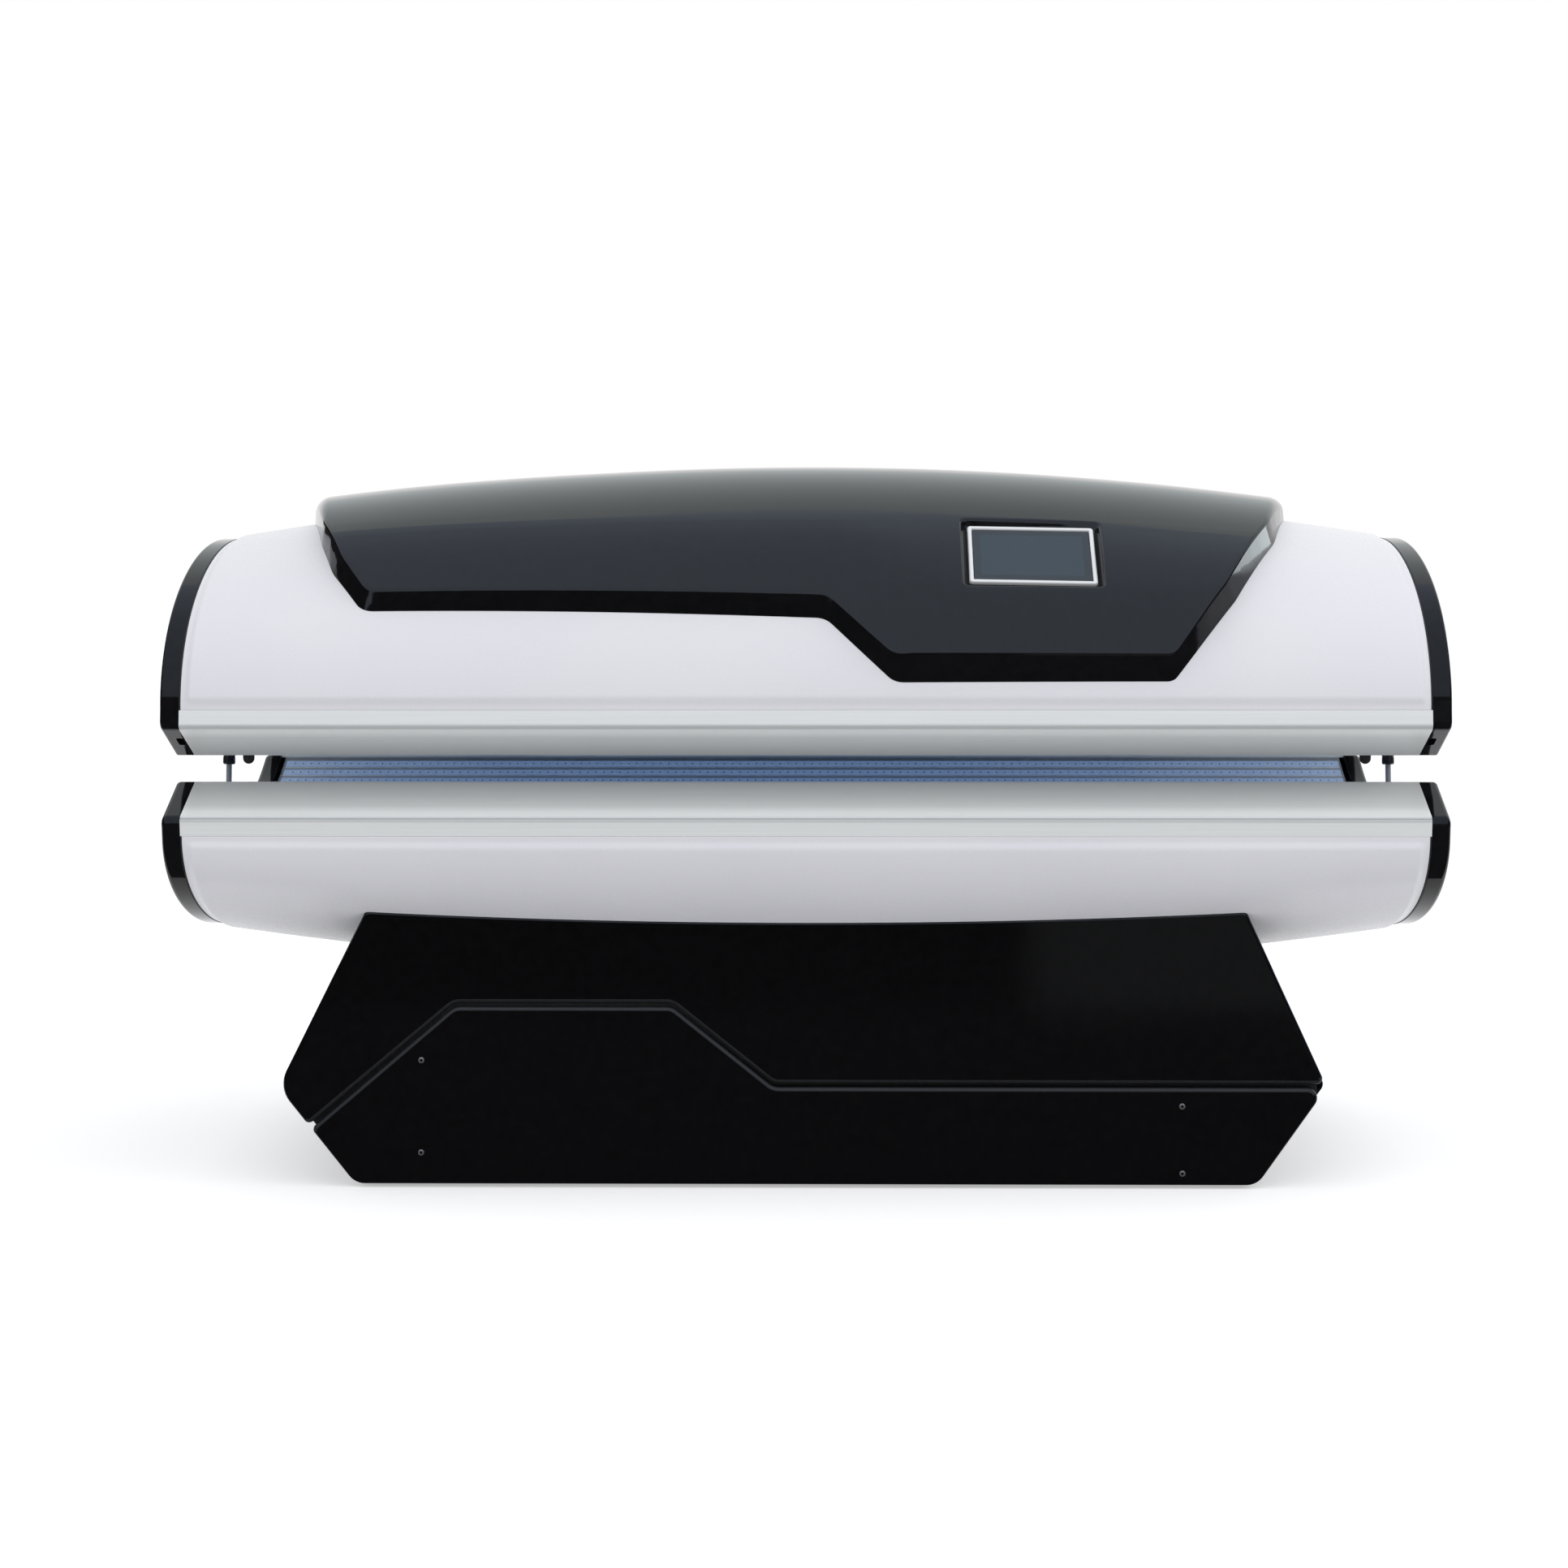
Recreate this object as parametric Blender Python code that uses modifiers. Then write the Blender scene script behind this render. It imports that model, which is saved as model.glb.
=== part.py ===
"""LED light therapy bed: a clamshell of two LED lined halves on a panelled base.

Metres, +Z up, X along the bed, the front faces -Y, the origin on the floor under the middle.
Both halves are drawn outward from the parting plane, so a height there is PARTING_Z +/- reach.
"""
import math

import bmesh
import bpy
from mathutils import Matrix, Vector

# Overall sizes
BED_LENGTH = 2.200
BED_DEPTH = 1.000
CAP_THICKNESS = 0.033
PARTING_Z = 0.727
CLEAR = 0.0003

# Front and rear rails, drawn from the lip at the parting gap out to the edge of the shell
LIP_GAP = 0.046
RAIL_RISE = 0.055
RAIL_FLANGE = 0.030
RAIL_REACH = 0.112
RAIL_WALL = 0.004
LAND_WIDTH = 0.052
LAND_FALL = 0.004
FLANGE_LEAN = 0.003
LIP_RADIUS = 0.010
NOSE_RADIUS = 0.014

# Crowned shells
SHELL_WALL = 0.005
LOWER_RISE = 0.204
LOWER_CROWN = 0.085
UPPER_RISE = 0.297
UPPER_CROWN = 0.088
CROWN_POWER = 1.5
SHELL_ROWS = 12
SHELL_STEPS = 16

# End caps
CAP_EDGE_RADIUS = 0.008
CAP_POCKET_WIDTH = 0.020
CAP_POCKET_LENGTH = 0.042
CAP_POCKET_DEPTH = 0.012
CAP_POCKET_FROM_SHELL = 0.008

# Acrylic liners, LED trays and ribs
LINER_WALL = 0.005
LINER_END_GAP = 0.0105
BED_EDGE_ANGLE = math.radians(32)
CANOPY_LINER_RISE = 0.265
LINER_STEPS = 18
TRAY_SPACE = 0.025
TRAY_WALL = 0.004
LED_PITCH = 0.030
RIDGE_WIDTH = 0.004
RIDGE_HEIGHT = 0.004
CANOPY_TRAY_START = math.radians(9)
RIB_WALL = 0.012
RIB_FROM_CAP = 0.0565
RIB_CLEAR = 0.0014
RIB_FROM_RAIL = 0.012

# Canopy hinges in the rear gap
HINGE_FROM_LIP = 0.012
HINGE_X = 0.620
HINGE_LENGTH = 0.120
KNUCKLE_LENGTH = 0.040
KNUCKLE_RADIUS = 0.009
KNUCKLE_GAP = 0.0005
HINGE_PIN_RADIUS = 0.004
HINGE_PIN_HEAD = 0.0065
HINGE_PIN_CLEAR = 0.0003
LEAF_WALL = 0.004
LEAF_REACH = 0.070
LEAF_WEB = 0.018

# Gas struts in the end bays
STRUT_FROM_CAP = 0.0145
STRUT_TOP_Y = -0.150
STRUT_FOOT_Y = -0.210
STRUT_TUBE_RADIUS = 0.011
STRUT_TUBE_WALL = 0.002
STRUT_ROD_RADIUS = 0.005
STRUT_TUBE_END_DROP = 0.007
STRUT_SEAL = 0.010
STRUT_EYE_RADIUS = 0.012
STRUT_EYE_WIDTH = 0.012
STRUT_STUD_RADIUS = 0.005
STRUT_STUD_CLEAR = 0.0004
STRUT_FLANGE_RADIUS = 0.020
STRUT_FLANGE_WALL = 0.006
STRUT_SLOT_WIDTH = 0.140
STRUT_SLOT_CLEAR = 0.007
PISTON_LENGTH = 0.010
ROD_EYE_RADIUS = 0.011

# Rubber buffers under the front lip of the canopy
BUFFER_X = 0.980
BUFFER_RADIUS = 0.010
BUFFER_DROP = 0.019
BUFFER_FROM_LIP = 0.036

# Hood over the top of the canopy, its outline as X and the angle round the shell from the front rail
HOOD_LIFT = 0.045
HOOD_LOW_LIFT = 0.030
HOOD_WALL = 0.003
HOOD_SKIRT = 0.020
HOOD_SHOULDER = 0.012
HOOD_SHOULDER_SHARE = 0.84
HOOD_LEFT_X = -0.769
HOOD_STEP_X = 0.036
HOOD_STEP_RUN = 0.118
HOOD_RIGHT_X = 0.628
HOOD_LEFT_TIP_X = -0.897
HOOD_RIGHT_TIP_X = 0.870
HOOD_HIGH_EDGE = math.radians(30)
HOOD_STEP_EDGE = math.radians(25.5)
HOOD_LOW_EDGE = math.radians(8.2)
HOOD_TIP = math.radians(72)
HOOD_TIP_REAR = math.radians(108)
HOOD_REAR_EDGE = math.radians(142)
HOOD_SEAT = 0.004
HOOD_X_CUTS = 13
HOOD_ANGLE_CUTS = 9
HOOD_ARC = 0.450
VENT_COUNT = 9
VENT_PITCH = 0.060
VENT_WIDTH = 0.008
VENT_LENGTH = 0.070
VENT_ANGLE = math.radians(122)

# Touch screen in the hood
SCREEN_X = 0.393
SCREEN_ANGLE = math.radians(41.8)
RECESS_WIDTH = 0.244
RECESS_HEIGHT = 0.172
RECESS_RADIUS = 0.012
RECESS_DEPTH = 0.018
RECESS_WALL = 0.003
BEZEL_WIDTH = 0.221
BEZEL_HEIGHT = 0.148
BEZEL_BORDER = 0.011
BEZEL_THICKNESS = 0.006
BEZEL_RADIUS = 0.010
GLASS_THICKNESS = 0.0045

# Base
BASE_DEPTH = 0.790
BASE_TOP_HALF = 0.769
BASE_WAIST_HALF = 0.907
BASE_BOTTOM_HALF = 0.784
BASE_TOP_Z = 0.475
BASE_WAIST_Z = 0.1725
BASE_BOTTOM_Z = 0.006
BASE_CORNER_RADIUS = 0.016
PANEL_WALL = 0.012
PANEL_EDGE_RADIUS = 0.004
PANEL_GROOVE = 0.007
END_PANEL_WALL = 0.006
SCRIBE_GAP = 0.0005
GROOVE_START_Z = 0.112
GROOVE_HIGH_LEFT_X = -0.611
GROOVE_HIGH_RIGHT_X = -0.231
GROOVE_HIGH_Z = 0.317
GROOVE_LOW_X = -0.055
GROOVE_LOW_Z = 0.1705
GROOVE_RADIUS = 0.030

# Base frame, feet and what stands in the base
FRAME_TUBE = 0.040
FRAME_POST_X = 0.600
FRAME_BOTTOM_Z = 0.030
FRAME_LENGTH = 1.440
SADDLE_WALL = 0.010
SADDLE_DROP = 0.190
TRAY_FLOOR_WALL = 0.003
FOOT_RADIUS = 0.028
FOOT_TAPER = 0.005
FOOT_FROM_PANEL = 0.002
SUPPLY_SIZE = (0.240, 0.120, 0.070)
SUPPLY_X = 0.250
CONTROLLER_SIZE = (0.180, 0.140, 0.055)
BOX_EDGE_RADIUS = 0.004

# Fans and mains inlet on the back panel
FAN_X = 0.300
FAN_Z = 0.225
FAN_SIZE = 0.120
FAN_DEPTH = 0.025
FAN_BORE_RADIUS = 0.056
FAN_HUB_RADIUS = 0.020
FAN_SPIDER_WALL = 0.004
FAN_ARM_WIDTH = 0.007
FAN_SHAFT_RADIUS = 0.004
FAN_SHAFT_CLEAR = 0.0003
FAN_TIP_CLEAR = 0.003
FAN_BLADES = 7
FAN_BLADE_WALL = 0.002
FAN_BLADE_PITCH = math.radians(38)
FAN_HUB_LENGTH = 0.015
GRILLE_SLOTS = 9
GRILLE_PITCH = 0.0115
GRILLE_SLOT_WIDTH = 0.0055
GRILLE_RADIUS = 0.054
INLET_X = 0.560
INLET_Z = 0.140
INLET_WIDTH = 0.028
INLET_HEIGHT = 0.020
INLET_FLANGE = 0.010
INLET_FLANGE_WALL = 0.003
INLET_DEPTH = 0.026
INLET_WALL = 0.002

# Sides: the upper half reaches up from the parting plane, the lower half down
UPPER = 1
LOWER = -1

# Places worked out from the driving sizes
SHELL_HALF = BED_LENGTH / 2 - CAP_THICKNESS - CLEAR
CAP_INNER_X = BED_LENGTH / 2 - CAP_THICKNESS
NOSE_Y = BED_DEPTH / 2
LIP_Y = NOSE_Y - RAIL_REACH
LAND_Y = LIP_Y - LAND_WIDTH
LIP_REACH = LIP_GAP / 2
LAND_REACH = LIP_REACH + LAND_FALL
NOSE_REACH = LIP_REACH + RAIL_RISE
SEAM_REACH = NOSE_REACH + RAIL_FLANGE
SHELL_Y = NOSE_Y - FLANGE_LEAN
RISE = {UPPER: UPPER_RISE, LOWER: LOWER_RISE}
CROWN = {UPPER: UPPER_CROWN, LOWER: LOWER_CROWN}
TRAY_START = {UPPER: CANOPY_TRAY_START, LOWER: 0.0}
LINER_HALF = CAP_INNER_X - LINER_END_GAP
RIB_OUTER_X = BED_LENGTH / 2 - CAP_THICKNESS - RIB_FROM_CAP
STRUT_X = CAP_INNER_X - STRUT_FROM_CAP
HINGE_Y = LIP_Y + HINGE_FROM_LIP
BASE_HALF = BASE_DEPTH / 2
FRAME_HALF = BASE_HALF - PANEL_WALL - CLEAR

COLOURS = {
    "white_shell": ((0.83, 0.83, 0.86), 0.22, 0.0),
    "black_gloss": ((0.012, 0.012, 0.014), 0.10, 0.0),
    "satin_aluminium": ((0.72, 0.73, 0.75), 0.32, 1.0),
    "acrylic": ((0.80, 0.86, 0.92), 0.04, 0.0),
    "led_board": ((0.12, 0.22, 0.42), 0.45, 0.0),
    "rib_aluminium": ((0.30, 0.31, 0.33), 0.45, 0.8),
    "black_steel": ((0.03, 0.03, 0.032), 0.40, 0.6),
    "chrome": ((0.80, 0.81, 0.82), 0.08, 1.0),
    "rubber": ((0.02, 0.02, 0.02), 0.70, 0.0),
    "screen_glass": ((0.05, 0.065, 0.075), 0.06, 0.0),
    "silver_bezel": ((0.78, 0.79, 0.80), 0.22, 1.0),
    "zinc_box": ((0.55, 0.56, 0.57), 0.40, 1.0),
    "black_plastic": ((0.025, 0.025, 0.027), 0.45, 0.0),
}


# Scene, materials and objects

def clear_scene():
    for old in list(bpy.data.objects):
        bpy.data.objects.remove(old, do_unlink=True)


def new_collection(name):
    collection = bpy.data.collections.new(name)
    bpy.context.scene.collection.children.link(collection)
    return collection


def finish_material(name):
    material = bpy.data.materials.get(name)
    if material:
        return material
    colour, roughness, metallic = COLOURS[name]
    material = bpy.data.materials.new(name)
    material.use_nodes = True
    shader = material.node_tree.nodes["Principled BSDF"]
    shader.inputs["Base Color"].default_value = (*colour, 1.0)
    shader.inputs["Roughness"].default_value = roughness
    shader.inputs["Metallic"].default_value = metallic
    material.diffuse_color = (*colour, 1.0)
    return material


clear_scene()
PARTS = new_collection("led_light_therapy_bed")
CUTTERS = new_collection("cutters")


def add_part(name, mesh, finish, parent=None):
    """A named sub-part with its own finish, parented in place where it moves."""
    part = bpy.data.objects.new(name, mesh)
    mesh.materials.clear()
    mesh.materials.append(finish_material(finish))
    PARTS.objects.link(part)
    if parent:
        part.parent = parent
        part.matrix_parent_inverse = parent.matrix_world.inverted()
    return part


def add_pivot(name, place, parent=None):
    """An empty on a joint's axis, which carries the pieces that move with it."""
    pivot = bpy.data.objects.new(name, None)
    pivot.empty_display_size = 0.05
    PARTS.objects.link(pivot)
    if parent:
        pivot.parent = parent
        pivot.matrix_parent_inverse = parent.matrix_world.inverted()
    pivot.location = place
    bpy.context.view_layer.update()
    return pivot


def add_cutter(name, mesh):
    cutter = bpy.data.objects.new(name, mesh)
    cutter.hide_render = True
    cutter.display_type = "WIRE"
    CUTTERS.objects.link(cutter)
    return cutter


def cut(part, cutter, operation="DIFFERENCE"):
    boolean = part.modifiers.new(operation.lower() + "_" + cutter.name, "BOOLEAN")
    boolean.operation = operation
    boolean.object = cutter
    boolean.solver = "EXACT"


def mesh_from(shape, name):
    """A mesh from a bmesh, its doubles merged and its faces turned outward."""
    bmesh.ops.remove_doubles(shape, verts=shape.verts, dist=0.00002)
    bmesh.ops.recalc_face_normals(shape, faces=shape.faces)
    mesh = bpy.data.meshes.new(name)
    shape.to_mesh(mesh)
    shape.free()
    return mesh


def smooth(part, degrees=35):
    part.data.shade_smooth()
    part.data.set_sharp_from_angle(angle=math.radians(degrees))


# Planes that a flat outline is drawn on: local x, local y and the way it is thick
ACROSS = Matrix(((0, 0, 1, 0), (1, 0, 0, 0), (0, 1, 0, 0), (0, 0, 0, 1)))
UPRIGHT = Matrix(((1, 0, 0, 0), (0, 0, -1, 0), (0, 1, 0, 0), (0, 0, 0, 1)))


def rounded(corners, steps=4):
    """A closed outline from (a, b, radius) corners, each radius an arc of a few steps."""
    outline = []
    count = len(corners)
    for index, (a, b, radius) in enumerate(corners):
        here = Vector((a, b))
        if radius <= 0:
            outline.append(here)
            continue
        back = (Vector(corners[index - 1][:2]) - here).normalized()
        ahead = (Vector(corners[(index + 1) % count][:2]) - here).normalized()
        half = back.angle(ahead) / 2
        centre = here + (back + ahead).normalized() * (radius / math.sin(half))
        first = here + back * (radius / math.tan(half)) - centre
        last = here + ahead * (radius / math.tan(half)) - centre
        sweep = first.angle_signed(last)
        for step in range(steps + 1):
            turn = -sweep * step / steps
            outline.append(centre + Matrix.Rotation(turn, 2) @ first)
    return outline


def circle(a, b, radius, steps=16):
    turns = [2 * math.pi * step / steps for step in range(steps)]
    return [Vector((a + radius * math.cos(turn), b + radius * math.sin(turn))) for turn in turns]


def rectangle(a, b, width, height, radius=0.0, steps=3):
    corners = []
    for side_a, side_b in ((-1, -1), (1, -1), (1, 1), (-1, 1)):
        corners.append((a + side_a * width / 2, b + side_b * height / 2, radius))
    return rounded(corners, steps)


def plate_mesh(name, outlines, thickness, plane, start):
    """A flat outline, with any holes, as a filled 2D curve; it runs from start along its plane."""
    curve = bpy.data.curves.new(name, "CURVE")
    curve.dimensions = "2D"
    curve.fill_mode = "BOTH"
    curve.extrude = thickness / 2
    for outline in outlines:
        spline = curve.splines.new("POLY")
        spline.points.add(len(outline) - 1)
        for point, corner in zip(spline.points, outline):
            point.co = (corner[0], corner[1], 0, 1)
        spline.use_cyclic_u = True
    holder = bpy.data.objects.new(name, curve)
    bpy.context.scene.collection.objects.link(holder)
    depsgraph = bpy.context.evaluated_depsgraph_get()
    mesh = bpy.data.meshes.new_from_object(holder.evaluated_get(depsgraph))
    bpy.data.objects.remove(holder, do_unlink=True)
    shape = bmesh.new()
    shape.from_mesh(mesh)
    bpy.data.meshes.remove(mesh)
    bmesh.ops.remove_doubles(shape, verts=shape.verts, dist=0.00001)
    bmesh.ops.dissolve_limit(shape, angle_limit=0.002, verts=shape.verts, edges=shape.edges)
    shape.transform(plane @ Matrix.Translation((0, 0, start + thickness / 2)))
    return mesh_from(shape, name)


def round_rim(mesh, keep, radius, segments=2):
    """Round the edges whose two ends both pass the test."""
    shape = bmesh.new()
    shape.from_mesh(mesh)
    rims = []
    for edge in shape.edges:
        sharp = edge.is_manifold and edge.calc_face_angle() > math.radians(40)
        if sharp and keep(edge.verts[0].co) and keep(edge.verts[1].co):
            rims.append(edge)
    bmesh.ops.bevel(shape, geom=rims, offset=radius, segments=segments, profile=0.5,
                    affect="EDGES", clamp_overlap=True, material=-1)
    shape.to_mesh(mesh)
    shape.free()


def box_mesh(name, low, high):
    shape = bmesh.new()
    size = [high[axis] - low[axis] for axis in range(3)]
    middle = [(high[axis] + low[axis]) / 2 for axis in range(3)]
    bmesh.ops.create_cube(shape, size=1.0)
    bmesh.ops.scale(shape, vec=size, verts=shape.verts)
    bmesh.ops.translate(shape, vec=middle, verts=shape.verts)
    return mesh_from(shape, name)


def turned_mesh(name, profile, place, steps=16):
    """A profile of (radius, height) from the top down its outer side, turned by a Screw."""
    mesh = bpy.data.meshes.new(name)
    points = [(radius, 0, height) for radius, height in profile]
    mesh.from_pydata(points, [(index, index + 1) for index in range(len(points) - 1)], [])
    holder = bpy.data.objects.new(name, mesh)
    bpy.context.scene.collection.objects.link(holder)
    screw = holder.modifiers.new("turn", "SCREW")
    screw.steps = steps
    screw.render_steps = steps
    screw.use_merge_vertices = True
    screw.merge_threshold = 0.00001
    depsgraph = bpy.context.evaluated_depsgraph_get()
    solid = bpy.data.meshes.new_from_object(holder.evaluated_get(depsgraph))
    bpy.data.objects.remove(holder, do_unlink=True)
    shape = bmesh.new()
    shape.from_mesh(solid)
    bpy.data.meshes.remove(solid)
    shape.transform(place)
    return mesh_from(shape, name)


def along_x(x, y, z, direction=1):
    """Turns a turned shape's own +Z to point along X."""
    return Matrix.Translation((x, y, z)) @ Matrix.Rotation(direction * math.pi / 2, 4, "Y")


# The crowned shell surface and the offsets from it

def shell_point(side, x, angle):
    crown = CROWN[side] * (1 - (x / SHELL_HALF) ** 2)
    swell = max(math.sin(angle), 0.0)
    reach = SEAM_REACH + RISE[side] * swell + crown * swell ** CROWN_POWER
    return Vector((x, -SHELL_Y * math.cos(angle), PARTING_Z + side * reach))


def shell_normal(side, x, angle):
    nudge = 0.0005
    low = max(angle - nudge, 0.0)
    high = min(angle + nudge, math.pi)
    along = shell_point(side, x + nudge, angle) - shell_point(side, x - nudge, angle)
    around = shell_point(side, x, high) - shell_point(side, x, low)
    return along.cross(around).normalized() * side


def shell_lift(side, x, angle, lift):
    return shell_point(side, x, angle) + shell_normal(side, x, angle) * lift


def shell_layers(side, place_outer, place_inner):
    """A closed block between two layers over the whole shell, each placed by X and angle."""
    shape = bmesh.new()
    bmesh.ops.create_grid(shape, x_segments=SHELL_ROWS, y_segments=SHELL_STEPS, size=0.5)
    bmesh.ops.triangulate(shape, faces=shape.faces[:], quad_method="FIXED")
    grown = bmesh.ops.extrude_face_region(shape, geom=shape.faces[:])
    outer = {item for item in grown["geom"] if isinstance(item, bmesh.types.BMVert)}
    for vert in shape.verts:
        x = vert.co.x * 2 * SHELL_HALF
        angle = (vert.co.y + 0.5) * math.pi
        vert.co = place_outer(x, angle) if vert in outer else place_inner(x, angle)
    return shape


def shell_block(name, side, inner_lift, outer_lift):
    """A block between two lifts off the shell surface; the shell itself is one."""
    shape = shell_layers(side, lambda x, angle: shell_lift(side, x, angle, outer_lift),
                         lambda x, angle: shell_lift(side, x, angle, inner_lift))
    return mesh_from(shape, name)


def shell_plug(name, side, lift, plane_z):
    """A block from a lift off the shell surface to a level plane inside it."""
    def to_plane(x, angle):
        point = shell_lift(side, x, angle, lift)
        return Vector((point.x, point.y, plane_z))

    shape = shell_layers(side, lambda x, angle: shell_lift(side, x, angle, lift), to_plane)
    return mesh_from(shape, name)


def shell_section(side, x, lift):
    """The (y, z) section of the faceted shell at one X, front to rear."""
    place = (x / SHELL_HALF + 1) * SHELL_ROWS / 2
    row = min(int(place), SHELL_ROWS - 1)
    first, second = [(2 * index / SHELL_ROWS - 1) * SHELL_HALF for index in (row, row + 1)]
    section = []
    for step in range(SHELL_STEPS + 1):
        angle = math.pi * step / SHELL_STEPS
        point = shell_lift(side, first, angle, lift).lerp(shell_lift(side, second, angle, lift), place - row)
        section.append(Vector((point.y, point.z)))
    return section


# The acrylic liner of each half and the offsets outward from it

def liner_section(side, offset, start=0.0, steps=LINER_STEPS):
    """The (y, z) path of the liner, front to rear, pushed outward by an offset."""
    path = []
    for step in range(steps + 1):
        if side == UPPER:
            half = LAND_Y - LINER_WALL - CLEAR
            turn = start + (math.pi - 2 * start) * step / steps
            foot = Vector((-half * math.cos(turn), LAND_REACH + CANOPY_LINER_RISE * math.sin(turn)))
            out = Vector((-math.cos(turn) / half, math.sin(turn) / CANOPY_LINER_RISE)).normalized()
        else:
            half = LAND_Y - CLEAR - LINER_WALL * math.sin(BED_EDGE_ANGLE)
            radius = half / math.sin(BED_EDGE_ANGLE)
            turn = (BED_EDGE_ANGLE - start) * (2 * step / steps - 1)
            dip = radius * (math.cos(turn) - math.cos(BED_EDGE_ANGLE))
            foot = Vector((radius * math.sin(turn), LAND_REACH + dip))
            out = Vector((math.sin(turn), math.cos(turn)))
        place = foot + out * offset
        path.append(Vector((place.x, PARTING_Z + side * place.y)))
    return path


def height_at(path, y):
    """The height of a front to rear path at one Y."""
    for first, second in zip(path, path[1:]):
        if first.x <= y <= second.x:
            share = (y - first.x) / (second.x - first.x)
            return first.y + (second.y - first.y) * share
    raise ValueError("the path does not reach this Y")


TRAY_BACK = LINER_WALL + TRAY_SPACE + TRAY_WALL


def rib_middle(side, y):
    """The height halfway through an end rib at one Y, where a strut is bolted on."""
    tray = height_at(liner_section(side, TRAY_BACK, TRAY_START[side]), y)
    shell = height_at(shell_section(side, RIB_OUTER_X, -SHELL_WALL), y)
    return (tray + shell) / 2


def rail_profile(side, facing):
    """The (y, z) line of a rail's outer face; facing is -1 at the front and 1 at the rear."""
    corners = [
        (LAND_Y, LAND_REACH, 0.0),
        (LIP_Y, LIP_REACH, LIP_RADIUS),
        (NOSE_Y, NOSE_REACH, NOSE_RADIUS),
        (SHELL_Y, SEAM_REACH - CLEAR, 0.0),
    ]
    line = rounded(corners)
    return [Vector((facing * a, PARTING_Z + side * b)) for a, b in line]


# Bent strips such as rails and liners

def strip_mesh(name, path, x_low, x_high, inside):
    """An open path drawn along X, its faces turned away from the point inside it."""
    shape = bmesh.new()
    verts = [shape.verts.new((x_low, point.x, point.y)) for point in path]
    edges = [shape.edges.new(pair) for pair in zip(verts, verts[1:])]
    grown = bmesh.ops.extrude_edge_only(shape, edges=edges)
    moved = [item for item in grown["geom"] if isinstance(item, bmesh.types.BMVert)]
    bmesh.ops.translate(shape, vec=(x_high - x_low, 0, 0), verts=moved)
    bmesh.ops.recalc_face_normals(shape, faces=shape.faces)
    shape.faces.ensure_lookup_table()
    middle = shape.faces[len(shape.faces) // 2]
    toward = Vector((0, inside[0], inside[1])) - middle.calc_center_median() * Vector((0, 1, 1))
    if middle.normal.dot(toward) > 0:
        bmesh.ops.reverse_faces(shape, faces=shape.faces)
    mesh = bpy.data.meshes.new(name)
    shape.to_mesh(mesh)
    shape.free()
    return mesh


def thicken(part, wall):
    solidify = part.modifiers.new("wall", "SOLIDIFY")
    solidify.thickness = wall
    solidify.offset = -1.0
    solidify.use_even_offset = True


# Pivots

HINGE_PLACE = Vector((0, HINGE_Y, PARTING_Z))
CANOPY = add_pivot("canopy_pivot", HINGE_PLACE)
STRUT_TOP = Vector((0, STRUT_TOP_Y, rib_middle(UPPER, STRUT_TOP_Y)))
STRUT_FOOT = Vector((0, STRUT_FOOT_Y, rib_middle(LOWER, STRUT_FOOT_Y)))
STRUT_AIM = (STRUT_FOOT - STRUT_TOP).normalized()
STRUT_SLOT_Y = (STRUT_TOP_Y + STRUT_FOOT_Y) / 2 + 0.1 * STRUT_SLOT_WIDTH


def half_names(side):
    if side == UPPER:
        return "upper", "canopy", CANOPY
    return "lower", "bed", None


# Shells, rails and end caps

def make_shell(side):
    prefix, _, parent = half_names(side)
    name = prefix + "_shell"
    part = add_part(name, shell_block(name, side, -SHELL_WALL, 0.0), "white_shell", parent)
    smooth(part)


def make_rails(side):
    prefix, _, parent = half_names(side)
    for word, facing in (("front", -1), ("rear", 1)):
        path = rail_profile(side, facing)
        inside = (facing * LAND_Y, PARTING_Z + side * SEAM_REACH)
        name = prefix + "_" + word + "_rail"
        part = add_part(name, strip_mesh(name, path, -SHELL_HALF, SHELL_HALF, inside),
                        "satin_aluminium", parent)
        thicken(part, RAIL_WALL)
        smooth(part)


def cap_outline(side):
    """The crescent of an end cap: both rail noses, the shell's end and the liner's opening."""
    front = rail_profile(side, -1)
    rear = rail_profile(side, 1)
    opening = liner_section(side, 0.0)
    outer = shell_section(side, SHELL_HALF, 0.0)
    return front[:-1] + outer + rear[:-1][::-1] + opening[::-1]


def make_caps(side):
    prefix, _, parent = half_names(side)
    for word, hand in (("left", -1), ("right", 1)):
        name = prefix + "_cap_" + word
        start = CAP_INNER_X if hand > 0 else -BED_LENGTH / 2
        mesh = plate_mesh(name, [cap_outline(side)], CAP_THICKNESS, ACROSS, start)
        rim_x = hand * BED_LENGTH / 2
        round_rim(mesh, lambda place, rim=rim_x: abs(place.x - rim) < 0.001, CAP_EDGE_RADIUS)
        part = add_part(name, mesh, "black_gloss", parent)
        smooth(part)
        if side == UPPER:
            cut(part, cap_pocket_cutter(hand))


def cap_pocket_cutter(hand):
    """The small pocket in the slope of an upper cap, beside the front rail."""
    slope = math.atan2(RAIL_RISE, RAIL_REACH)
    x = hand * (CAP_INNER_X + CAP_POCKET_FROM_SHELL + CAP_POCKET_WIDTH / 2)
    y = -(LIP_Y + NOSE_Y) / 2
    z = PARTING_Z + (LIP_REACH + NOSE_REACH) / 2
    half = (CAP_POCKET_WIDTH / 2, CAP_POCKET_LENGTH / 2, CAP_POCKET_DEPTH)
    mesh = box_mesh("cap_pocket_cutter", [-size for size in half], half)
    turn = Matrix.Rotation(-slope, 4, "X")
    mesh.transform(Matrix.Translation((x, y, z)) @ turn)
    return add_cutter("cap_pocket_cutter_" + ("right" if hand > 0 else "left"), mesh)


# Liners, LED trays and ribs

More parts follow.
